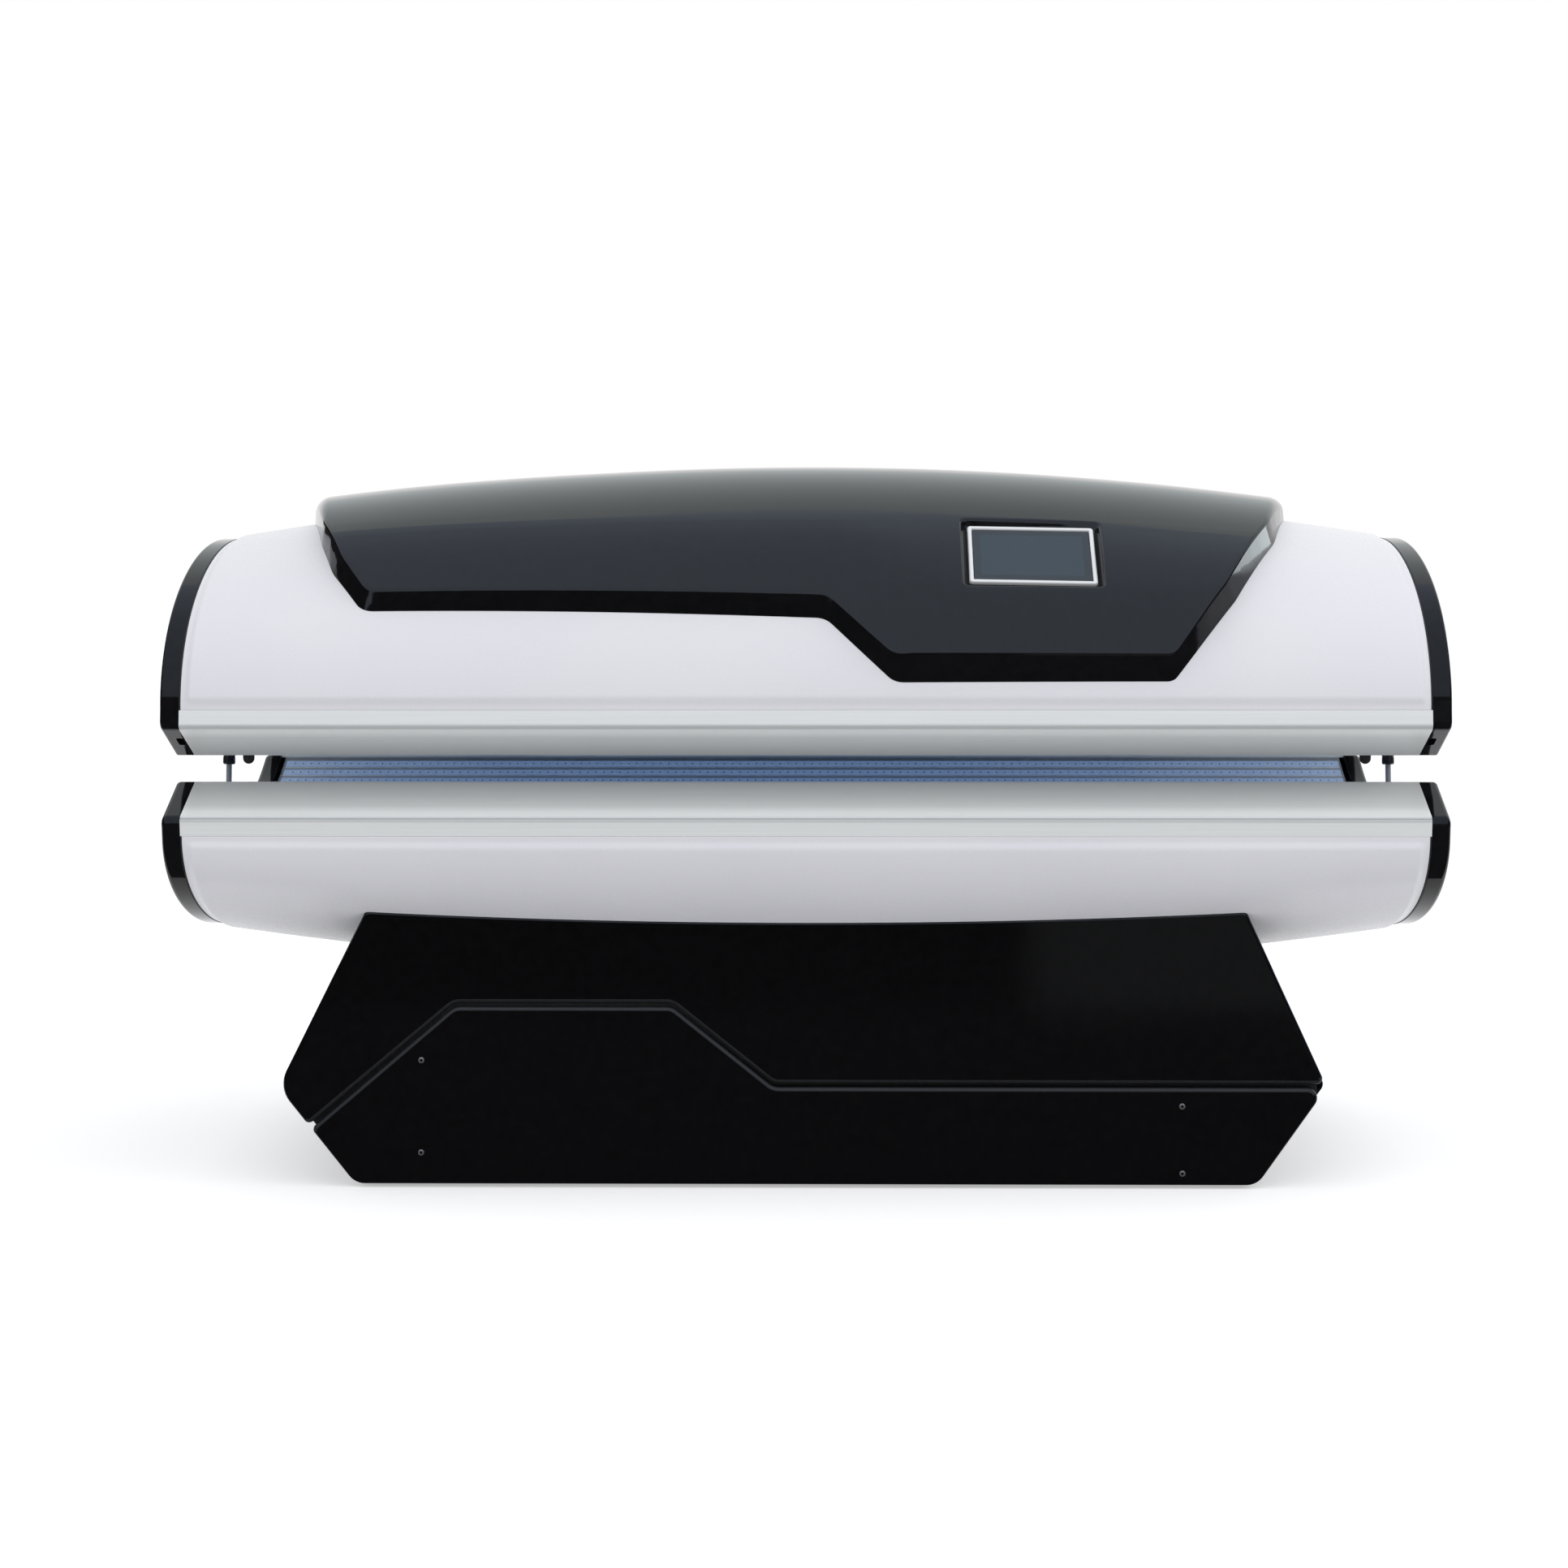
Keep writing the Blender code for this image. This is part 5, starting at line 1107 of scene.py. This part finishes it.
def hood_cuts():
    """Where the flat hood is cut before it is wrapped: evenly, and closely round the screen."""
    left = min(corner[0] for corner in HOOD_EDGE)
    right = max(corner[0] for corner in HOOD_EDGE)
    low_arc = hood_arc(min(corner[1] for corner in HOOD_EDGE))
    high_arc = hood_arc(max(corner[1] for corner in HOOD_EDGE))
    x_count = round((right - left) / HOOD_X_PITCH)
    xs = [left + (right - left) * step / x_count for step in range(1, x_count)]
    arc_count = round((high_arc - low_arc) / HOOD_ARC_PITCH)
    arcs = [low_arc + (high_arc - low_arc) * step / arc_count for step in range(1, arc_count)]
    run = RECESS_LIP + RECESS_WALL_RUN
    for step in range(RECESS_CUTS):
        inward = -RECESS_LIP - RECESS_CUT_SPARE + (run + 2 * RECESS_CUT_SPARE) * step / (RECESS_CUTS - 1)
        for hand in (-1, 1):
            xs.append(SCREEN_X + hand * (RECESS_WIDTH / 2 - inward))
            arcs.append(SCREEN_ANGLE * HOOD_ARC + hand * (RECESS_HEIGHT / 2 - inward) * RECESS_ARC_SHARE)
    return xs, arcs


def vent_edges():
    xs = []
    for index in range(VENT_COUNT):
        middle = (index - (VENT_COUNT - 1) / 2) * VENT_PITCH
        xs += [middle - VENT_WIDTH / 2, middle + VENT_WIDTH / 2]
    arc = VENT_ANGLE * HOOD_ARC
    return xs, [arc - VENT_LENGTH / 2, arc + VENT_LENGTH / 2]


def slice_flat(shape, xs, arcs):
    for x in xs:
        slice_at(shape, (x, 0, 0), (1, 0, 0), HOOD_SNAP)
    for arc in arcs:
        slice_at(shape, (0, arc, 0), (0, 1, 0), HOOD_SNAP)


def hood_loops():
    """The flat hood as closed loops: its foot, then the rounding from its skirt into its face."""
    feet = rounded([(x, hood_arc(turn), radius) for x, turn, _, _, radius in HOOD_EDGE], HOOD_CORNER_STEPS)
    brows = rounded([(x, hood_arc(turn), radius) for _, _, x, turn, radius in HOOD_EDGE], HOOD_CORNER_STEPS)
    low, high = (hood_arc(turn) for turn in HOOD_SHOULDER_TURNS)
    loops = [[Vector((foot.x, foot.y, 0)) for foot in feet]]
    for step in range(HOOD_ROUND_STEPS + 1):
        turn = math.pi / 2 * step / HOOD_ROUND_STEPS
        loop = []
        for index, brow in enumerate(brows):
            along = (brows[(index + 1) % len(brows)] - brows[index - 1]).normalized()
            inward = Vector((-along.y, along.x, 0))
            top = Vector((brow.x, brow.y, HOOD_LIFT))
            up = (top - loops[0][index]).normalized()
            radius = HOOD_CREASE + (HOOD_SHOULDER - HOOD_CREASE) * ease((brow.y - low) / (high - low))
            loop.append(top - up * radius * (1 - math.sin(turn)) + inward * radius * (1 - math.cos(turn)))
        loops.append(loop)
    return loops


def flat_hood():
    """The hood drawn flat, creased and rounded, cut so that it can bend, with its vents taken out."""
    shape = bmesh.new()
    loops = [[shape.verts.new(spot) for spot in loop] for loop in hood_loops()]
    rims = [closed_edges(shape, loop) for loop in loops]
    for low, high in zip(rims, rims[1:]):
        bmesh.ops.bridge_loops(shape, edges=low + high)
    shape.faces.new(loops[-1])
    bmesh.ops.recalc_face_normals(shape, faces=shape.faces)
    vent_xs, vent_arcs = vent_edges()
    xs, arcs = hood_cuts()
    slice_flat(shape, xs + vent_xs, arcs + vent_arcs)
    vents = []
    for item in shape.faces:
        middle = item.calc_center_median()
        if vent_arcs[0] < middle.y < vent_arcs[1]:
            if any(low < middle.x < high for low, high in zip(vent_xs[0::2], vent_xs[1::2])):
                vents.append(item)
    bmesh.ops.delete(shape, geom=vents, context="FACES")
    return shape


def make_hood():
    """The flat hood wrapped round the shell and recessed for the screen."""
    shape = flat_hood()
    screen = screen_frame(0)
    to_screen = screen.inverted()
    seat = PILLOW_HEIGHT + SCRIBE_GAP
    for vert in shape.verts:
        angle = vert.co.y / HOOD_ARC
        lift = seat + (hood_lift(vert.co.x, vert.co.y) - seat) * vert.co.z / HOOD_LIFT
        place = shell_lift(UPPER, vert.co.x, angle, lift)
        local = to_screen @ place
        if abs(local.x) < RECESS_WIDTH and abs(local.y) < RECESS_HEIGHT and abs(local.z) < HOOD_LIFT:
            depth = ease((inside_recess(local.x, local.y) + RECESS_LIP) / (RECESS_LIP + RECESS_WALL_RUN))
            local.z += (-RECESS_DEPTH - local.z) * depth
            place = screen @ local
        vert.co = place
    turn_out(shape, lambda face: face.normal.z)
    add_piece("hood_moulding", shape, "black_gloss", "canopy", ["hood", "screen_housing"],
              crease=HOOD_CREASE_ANGLE, wall=HOOD_WALL)


def border(width, height, radius, wide):
    """A flat rounded frame of one width; also gives the verts round its opening."""
    shape = bmesh.new()
    loops = []
    edges = []
    opening = rectangle(width - 2 * wide, height - 2 * wide, OPENING_RADIUS)
    for outline in (rectangle(width, height, radius), opening):
        loops.append([shape.verts.new((a, b, 0)) for a, b in outline])
        edges += closed_edges(shape, loops[-1])
    bmesh.ops.bridge_loops(shape, edges=edges)
    return shape, loops[1]


def make_screen():
    place = screen_frame(RECESS_DEPTH - CLEAR)
    shape, _ = border(BEZEL_WIDTH, BEZEL_HEIGHT, BEZEL_RADIUS, BEZEL_BORDER)
    grown = bmesh.ops.extrude_face_region(shape, geom=shape.faces[:])
    bmesh.ops.translate(shape, vec=(0, 0, BEZEL_THICKNESS), verts=grown_verts(grown))
    bmesh.ops.recalc_face_normals(shape, faces=shape.faces)
    round_rim(shape, lambda spot: spot.z > BEZEL_THICKNESS - ON_FACE, BEZEL_EDGE, segments=5, clamp=False)
    shape.transform(place)
    add_piece("screen_bezel_frame", shape, "silver_bezel", "canopy", ["screen_bezel"])
    width = BEZEL_WIDTH - 2 * BEZEL_BORDER - 2 * GLASS_GAP
    height = BEZEL_HEIGHT - 2 * BEZEL_BORDER - 2 * GLASS_GAP
    pane, opening = border(width, height, PANE_RADIUS, DISPLAY_BORDER)
    display = pane.faces.new(opening)
    display.material_index = 1
    bmesh.ops.translate(pane, vec=(0, 0, GLASS_THICKNESS), verts=pane.verts)
    grown = bmesh.ops.extrude_face_region(pane, geom=pane.faces[:], use_keep_orig=True)
    bmesh.ops.translate(pane, vec=(0, 0, -GLASS_THICKNESS), verts=grown_verts(grown))
    pane.transform(place)
    add_piece("screen_pane", pane, ["screen_glass", "display"], "canopy", ["screen_glass"])


# Base

def base_edge_x(z, hand):
    """The X of the base's hexagon at one height and end, carried on past its top corner."""
    waist = BASE_WAIST_HALF[hand]
    if z >= BASE_WAIST_Z:
        share = (z - BASE_WAIST_Z) / (BASE_TOP_Z - BASE_WAIST_Z)
        return hand * (waist + (BASE_TOP_HALF - waist) * share)
    share = (z - BASE_BOTTOM_Z) / (BASE_WAIST_Z - BASE_BOTTOM_Z)
    return hand * (BASE_BOTTOM_HALF + (waist - BASE_BOTTOM_HALF) * share)


def base_lean(z):
    """How far the front leans forward at one height, from nothing at its top."""
    return BASE_LEAN * (BASE_TOP_Z - z) / (BASE_TOP_Z - BASE_BOTTOM_Z)


def under_shell_z(x, y):
    """The height just under the lower shell's pillow."""
    angle = math.acos(min(max(-y / SHELL_Y, -1.0), 1.0))
    point = shell_lift(LOWER, x, angle, PILLOW_HEIGHT + SCRIBE_GAP)
    return point.z


def panel_corner(y, hand):
    """Where the base's slanting end meets the shell at one Y."""
    z = BASE_TOP_Z
    for _ in range(SCRIBE_PASSES):
        z = under_shell_z(base_edge_x(z, hand), y)
    return base_edge_x(z, hand), z


def groove_line(shift, end_radius, inset=0.0):
    """The corners of the wavy groove between the front panels, moved up or down by a shift."""
    end_z = GROOVE_LOW_Z + shift
    start_z = GROOVE_START_Z + shift
    return [
        (base_edge_x(start_z, -1) + inset, start_z, min(end_radius, PANEL_END_RADIUS)),
        (GROOVE_HIGH_LEFT_X, GROOVE_HIGH_Z + shift, GROOVE_RADIUS),
        (GROOVE_HIGH_RIGHT_X, GROOVE_HIGH_Z + shift, GROOVE_RADIUS),
        (GROOVE_LOW_X, GROOVE_LOW_Z + shift, GROOVE_RADIUS),
        (base_edge_x(end_z, 1) - inset, end_z, end_radius),
    ]


def top_line(y):
    left, _ = panel_corner(y, -1)
    right, _ = panel_corner(y, 1)
    line = []
    for step in range(PANEL_TOP_STEPS + 1):
        x = right + (left - right) * step / PANEL_TOP_STEPS
        line.append((x, under_shell_z(x, y), PANEL_TOP_RADIUS if step in (0, PANEL_TOP_STEPS) else 0.0))
    return line


def fit_under_shell(shape, y):
    """Keep the inner edge of an upright panel under the shell, which bulges down behind it."""
    for vert in shape.verts:
        if abs(vert.co.y - y) > ON_FACE:
            vert.co.z = min(vert.co.z, under_shell_z(vert.co.x, vert.co.y))


def make_front_panels():
    front = -BASE_FRONT
    wall = PANEL_WALL + BASE_FRONT - BASE_HALF
    groove = [Vector((x, z)) for x, z, _ in groove_line(0.0, 0.0)]
    upper = groove_line(PANEL_GROOVE / 2, PANEL_END_RADIUS)
    lower = groove_line(-PANEL_GROOVE / 2, SERVICE_END_RADIUS)
    upper_corners = upper + top_line(front) + [(-BASE_WAIST_HALF[-1], BASE_WAIST_Z, WAIST_RADIUS[-1])]
    lower_corners = lower[::-1] + [
        (-BASE_BOTTOM_HALF, BASE_BOTTOM_Z, BASE_FOOT_RADIUS),
        (BASE_BOTTOM_HALF, BASE_BOTTOM_Z, BASE_FOOT_RADIUS),
    ]
    for node, corners in (("base_front_panel", upper_corners), ("base_service_panel", lower_corners)):
        shape = plate(rounded(corners, BASE_ARC_STEPS), UPRIGHT, BASE_HALF - PANEL_WALL, wall)
        fit_under_shell(shape, front)
        round_rim(shape, lambda place: place.y < front + ON_FACE, PANEL_EDGE_RADIUS, segments=5, clamp=False)
        # Painted sheen: the rounded edges along the groove take the lighter satin finish, in place of
        # reflected light
        shape.normal_update()
        for face in shape.faces:
            middle = face.calc_center_median()
            if middle.y < front + PANEL_EDGE_RADIUS and face.normal.y > -FRONT_FLATNESS:
                if line_distance(Vector((middle.x, middle.z)), groove) < GROOVE_SHEEN_BAND:
                    face.material_index = 1
        for vert in shape.verts:
            if vert.co.y < -BASE_HALF:
                vert.co.y -= base_lean(vert.co.z)
        add_piece(node + "_cover", shape, ["base_gloss", "groove_painted_sheen"], "base", [node])
    backing = (groove_line(-GROOVE_BACK_HALF, 0.0, GROOVE_BACK_INSET)
               + groove_line(GROOVE_BACK_HALF, 0.0, GROOVE_BACK_INSET)[::-1])
    shape = plate(rounded(backing, BASE_ARC_STEPS), UPRIGHT, BASE_HALF - PANEL_WALL, wall - GROOVE_BACK_SINK)
    add_piece("base_groove_backing", shape, "rubber", "base")


def slot_cutter(x, z, width, height, radius):
    """A rounded slot through the back panel."""
    outline = [Vector((x, z)) + spot for spot in rectangle(width, height, radius)]
    return plate(outline, UPRIGHT, -BASE_HALF - PANEL_WALL, 3 * PANEL_WALL)


def make_back_panel():
    """The back panel with a grille before each fan and the hole for the inlet."""
    rear = BASE_HALF
    corners = ([(-BASE_BOTTOM_HALF, BASE_BOTTOM_Z, BASE_FOOT_RADIUS),
                (BASE_BOTTOM_HALF, BASE_BOTTOM_Z, BASE_FOOT_RADIUS),
                (BASE_WAIST_HALF[1], BASE_WAIST_Z, WAIST_RADIUS[1])]
               + top_line(rear) + [(-BASE_WAIST_HALF[-1], BASE_WAIST_Z, WAIST_RADIUS[-1])])
    shape = plate(rounded(corners, BASE_ARC_STEPS), UPRIGHT, -BASE_HALF, PANEL_WALL)
    fit_under_shell(shape, rear)
    round_rim(shape, lambda place: place.y > rear - ON_FACE, PANEL_EDGE_RADIUS, segments=5, clamp=False)
    piece = add_piece("base_back_cover", shape, "base_gloss", "base", ["base_back_panel"])
    cutter = slot_cutter(INLET_X, INLET_Z, INLET_WIDTH + 2 * CLEAR, INLET_HEIGHT + 2 * CLEAR, 0.0)
    for middle in (-FAN_X, FAN_X):
        for index in range(GRILLE_SLOTS):
            offset = (index - (GRILLE_SLOTS - 1) / 2) * GRILLE_PITCH
            half = math.sqrt(GRILLE_RADIUS ** 2 - (abs(offset) + GRILLE_SLOT_WIDTH / 2) ** 2)
            join(cutter, slot_cutter(middle, FAN_Z + offset, 2 * half, GRILLE_SLOT_WIDTH,
                                     GRILLE_SLOT_ROUND * GRILLE_SLOT_WIDTH))
    carve(piece, cutter)


def make_end_panels():
    """Panels curled under at the foot and folded at the waist, flush with the front and back panels."""
    for word, hand in (("left", -1), ("right", 1)):
        low = [(BASE_BOTTOM_HALF - END_PANEL_CURL, BASE_BOTTOM_Z, 0.0),
               (BASE_BOTTOM_HALF, BASE_BOTTOM_Z, BASE_FOOT_RADIUS),
               (BASE_WAIST_HALF[hand], BASE_WAIST_Z, WAIST_RADIUS[hand]), (BASE_TOP_HALF, BASE_TOP_Z, 0.0)]
        fold = rounded(low, BASE_ARC_STEPS)[:-1]
        shape = bmesh.new()
        bmesh.ops.create_grid(shape, x_segments=len(fold), y_segments=END_PANEL_ROWS, size=0.5)
        for vert in shape.verts:
            index = round((vert.co.x + 0.5) * len(fold))
            y = vert.co.y * 2 * FRAME_HALF
            if index < len(fold):
                vert.co = (hand * fold[index].x, y, fold[index].y)
            else:
                x, z = panel_corner(y, hand)
                vert.co = (x, y, z)
        turn_out(shape, lambda face: hand * face.normal.x)
        node = "base_end_panel_" + word
        add_piece(node + "_sheet", shape, "base_gloss", "base", [node], wall=END_PANEL_WALL)


def make_screws():
    """Domed socket screws in the front panels, the back panel and round the fans."""
    profile = [(SCREW_RADIUS * share, height) for share, height in SCREW_PROFILE]
    rear = list(BACK_SCREW_PLACES)
    for middle in (-FAN_X, FAN_X):
        for side_x, side_z in ((-1, -1), (1, -1), (1, 1), (-1, 1)):
            rear.append((middle + side_x * FAN_SCREW_SPREAD, FAN_Z + side_z * FAN_SCREW_SPREAD))
    for name, places, y in (("base_panel_screws", SCREW_PLACES, -BASE_FRONT),
                            ("base_back_screws", rear, BASE_HALF)):
        shape = bmesh.new()
        for x, z in places:
            lean = base_lean(z) if y < 0 else 0.0
            place = (Matrix.Translation((x, y - lean, z))
                     @ Matrix.Rotation(-math.copysign(math.pi / 2, y), 4, "X"))
            join(shape, turned(profile, place, steps=24))
        add_piece(name, shape, "screw_steel", "base")


def make_inlet_blades():
    """The three contact blades in the mains inlet."""
    shape = bmesh.new()
    for x, z in BLADE_PLACES:
        middle = Vector((INLET_X + x, INLET_Z + z))
        outline = [middle + spot for spot in rectangle(BLADE_WIDTH, BLADE_HEIGHT, BLADE_RADIUS, 3)]
        join(shape, plate(outline, UPRIGHT, -BASE_HALF + BLADE_SINK, BLADE_LENGTH))
    add_piece("mains_inlet_blades", shape, "chrome", "base")


# Struts and buffers

def strut_frame(hand, place):
    """Local -Z runs down the strut from a place on its axis."""
    lean = Vector((0, 0, -1)).rotation_difference(STRUT_AIM).to_matrix().to_4x4()
    return Matrix.Translation((hand * STRUT_X, place.y, place.z)) @ lean


def eye(hand, place, radius, hole):
    """A strut's eye: a short ring across the strut's end."""
    half = STRUT_EYE_WIDTH / 2
    edge = STRUT_EYE_EDGE
    profile = [(hole, half), (radius - edge, half), (radius, half - edge), (radius, edge - half),
               (radius - edge, -half), (hole, -half), (hole, half)]
    seat = Matrix.Translation((hand * STRUT_X, place.y, place.z)) @ Matrix.Rotation(math.pi / 2, 4, "Y")
    return turned(profile, seat, steps=28)


def make_struts():
    for word, hand in (("left", -1), ("right", 1)):
        place = strut_frame(hand, STRUT_TOP)
        reach = (STRUT_FOOT - STRUT_TOP).length
        end = (STRUT_TOP.z - PARTING_Z + STRUT_TUBE_END_DROP) / -STRUT_AIM.z
        profile = [(radius, -down) for radius, down in TUBE_NECK]
        profile += [(radius, up - end) for radius, up in TUBE_END]
        shape = turned(profile, place)
        join(shape, eye(hand, STRUT_TOP, STRUT_EYE_RADIUS, STRUT_PIN_HOLE))
        add_piece("strut_tube_" + word + "_barrel", shape, "black_steel", "tube_" + word,
                  ["strut_tube_" + word])
        profile = [(radius, up - end) for radius, up in ROD_TOP]
        profile += [(radius, up - reach) for radius, up in ROD_END]
        shape = turned(profile, place, steps=24)
        join(shape, eye(hand, STRUT_FOOT, ROD_EYE_RADIUS, 0.0))
        add_piece("strut_rod_" + word + "_bar", shape, "rod_steel", "rod_" + word, ["strut_rod_" + word])


def make_buffers():
    """Domed rubber buffers under the canopy's front lip."""
    y = -LIP_Y + BUFFER_FROM_LIP
    fall = LAND_FALL * (BUFFER_FROM_LIP - BUFFER_RADIUS) / LAND_WIDTH
    top = PARTING_Z + LIP_REACH + fall - CLEAR
    profile = [(0, 0), (BUFFER_RADIUS, 0), (BUFFER_RADIUS, -BUFFER_SIDE)]
    for step in range(1, BUFFER_STEPS):
        turn = math.pi / 2 * step / BUFFER_STEPS
        profile.append((BUFFER_RADIUS * math.cos(turn), -BUFFER_SIDE - BUFFER_RADIUS * math.sin(turn)))
    profile.append((0, -BUFFER_DROP))
    for word, hand in (("left", -1), ("right", 1)):
        place = Matrix.Translation((hand * BUFFER_X, y, top))
        add_piece("canopy_buffer_" + word + "_dome", turned(profile, place), "rubber", "canopy",
                  ["canopy_buffer_" + word])


# Finishes of the solids that stay

def dress_solids():
    kept = {
        "base_frame": "frame_metal", "mains_inlet": "black_plastic", "controller_box": "supply_case",
        "bed_led_tray": "led_tray", "canopy_led_tray": "led_tray",
    }
    for word in ("left", "right"):
        kept.update({
            "power_supply_" + word: "supply_case", "fan_housing_" + word: "black_plastic",
            "fan_rotor_" + word: "black_plastic", "strut_head_" + word: "black_steel",
            "strut_foot_" + word: "black_steel", "hinge_bed_leaf_" + word: "black_steel",
            "hinge_canopy_leaf_" + word: "black_steel", "hinge_pin_" + word: "chrome",
            "foot_front_" + word: "rubber", "foot_rear_" + word: "rubber",
        })
    for half in ("bed", "canopy"):
        for word in ("left", "middle", "right"):
            kept[half + "_rib_" + word] = "rib_aluminium"
    for node, finish in kept.items():
        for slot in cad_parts[node].material_slots:
            slot.material = FINISH[finish]


# Floor, light and camera

def seen_rays(owner):
    """One for rays that show the background: seen, reflected or passed through glass."""
    path = add_node(owner, "LightPath")
    seen = maths(owner, "MAXIMUM", path.outputs["Is Camera Ray"], path.outputs["Is Glossy Ray"])
    return maths(owner, "MAXIMUM", seen, path.outputs["Is Transmission Ray"])


def choose_shader(owner, hidden, seen):
    """One shader for most rays, another for rays that show the background."""
    choose = add_node(owner, "MixShader")
    connect(owner, seen_rays(owner), choose.inputs["Fac"])
    connect(owner, hidden.outputs[0], choose.inputs[1])
    connect(owner, seen.outputs[0], choose.inputs[2])
    return choose.outputs["Shader"]


def bare_material(name):
    """A material with no nodes yet but its output."""
    material = bpy.data.materials.new(name)
    material.use_nodes = True
    material.node_tree.nodes.clear()
    return material, add_node(material, "OutputMaterial").inputs["Surface"]


def make_floor():
    """A pale floor which also glows where it is seen, so that it looks white but for the object's shadow."""
    shape = bmesh.new()
    bmesh.ops.create_circle(shape, cap_ends=True, segments=64, radius=FLOOR_RADIUS)
    floor = add_object("studio_floor", to_mesh("studio_floor", shape))
    material, surface = bare_material("studio_floor")
    paint = add_node(material, "BsdfDiffuse", color=FLOOR_PAINT)
    glow = add_node(material, "Emission", strength=FLOOR_GLOW)
    nothing = add_node(material, "Emission", strength=0.0)
    both = add_node(material, "AddShader")
    connect(material, paint.outputs["BSDF"], both.inputs[0])
    connect(material, choose_shader(material, nothing, glow), both.inputs[1])
    connect(material, both.outputs["Shader"], surface)
    floor.data.materials.append(material)


def add_card(name, corners, tone):
    """A studio card which only shows in reflections."""
    shape = bmesh.new()
    shape.faces.new([shape.verts.new(corner) for corner in corners])
    card = add_object(name, to_mesh(name, shape))
    material, surface = bare_material(name)
    glow = add_node(material, "Emission", color=(*tone, 1.0))
    connect(material, glow.outputs["Emission"], surface)
    card.data.materials.append(material)
    card.visible_camera = False
    card.visible_diffuse = False
    card.visible_transmission = False
    card.visible_shadow = False


def make_world():
    world = bpy.data.worlds.new("studio")
    bpy.context.scene.world = world
    world.use_nodes = True
    world.node_tree.nodes.clear()
    output = add_node(world, "OutputWorld")
    room = add_node(world, "Background", color=ROOM_TONE, strength=ROOM_STRENGTH)
    white = add_node(world, "Background", color=(1.0, 1.0, 1.0, 1.0), strength=1.0)
    connect(world, choose_shader(world, room, white), output.inputs["Surface"])


def add_softbox(name, place, target, size, power):
    lamp = bpy.data.lights.new(name, "AREA")
    lamp.shape = "RECTANGLE"
    lamp.size, lamp.size_y = size
    lamp.energy = power
    holder = add_object(name, lamp)
    holder.location = place
    aim = Vector(target) - Vector(place)
    holder.rotation_euler = aim.to_track_quat("-Z", "Y").to_euler()
    holder.visible_glossy = False


def make_camera():
    lens = bpy.data.cameras.new("photo_camera")
    lens.sensor_width = CAMERA_SENSOR
    lens.lens = CAMERA_LENS
    lens.shift_x, lens.shift_y = CAMERA_SHIFT
    camera = add_object("photo_camera", lens)
    turn = (Matrix.Rotation(CAMERA_YAW, 4, "Z") @ Matrix.Rotation(math.pi / 2 - CAMERA_PITCH, 4, "X")
            @ Matrix.Rotation(CAMERA_ROLL, 4, "Z"))
    camera.matrix_world = Matrix.Translation(CAMERA_PLACE) @ turn
    bpy.context.scene.camera = camera


for half in (LOWER, UPPER):
    make_shell(half)
    make_rails(half)
    make_caps(half)
    make_acrylic(half)
    make_leds(half)
make_hood()
make_screen()
make_front_panels()
make_back_panel()
make_end_panels()
make_screws()
make_inlet_blades()
make_struts()
make_buffers()
dress_solids()
make_floor()
for card_name, card in STUDIO_CARDS.items():
    add_card(card_name, *card)
make_world()
for box_name, box in SOFTBOXES.items():
    add_softbox(box_name, *box)
make_camera()
bpy.context.scene.view_settings.view_transform = "Standard"
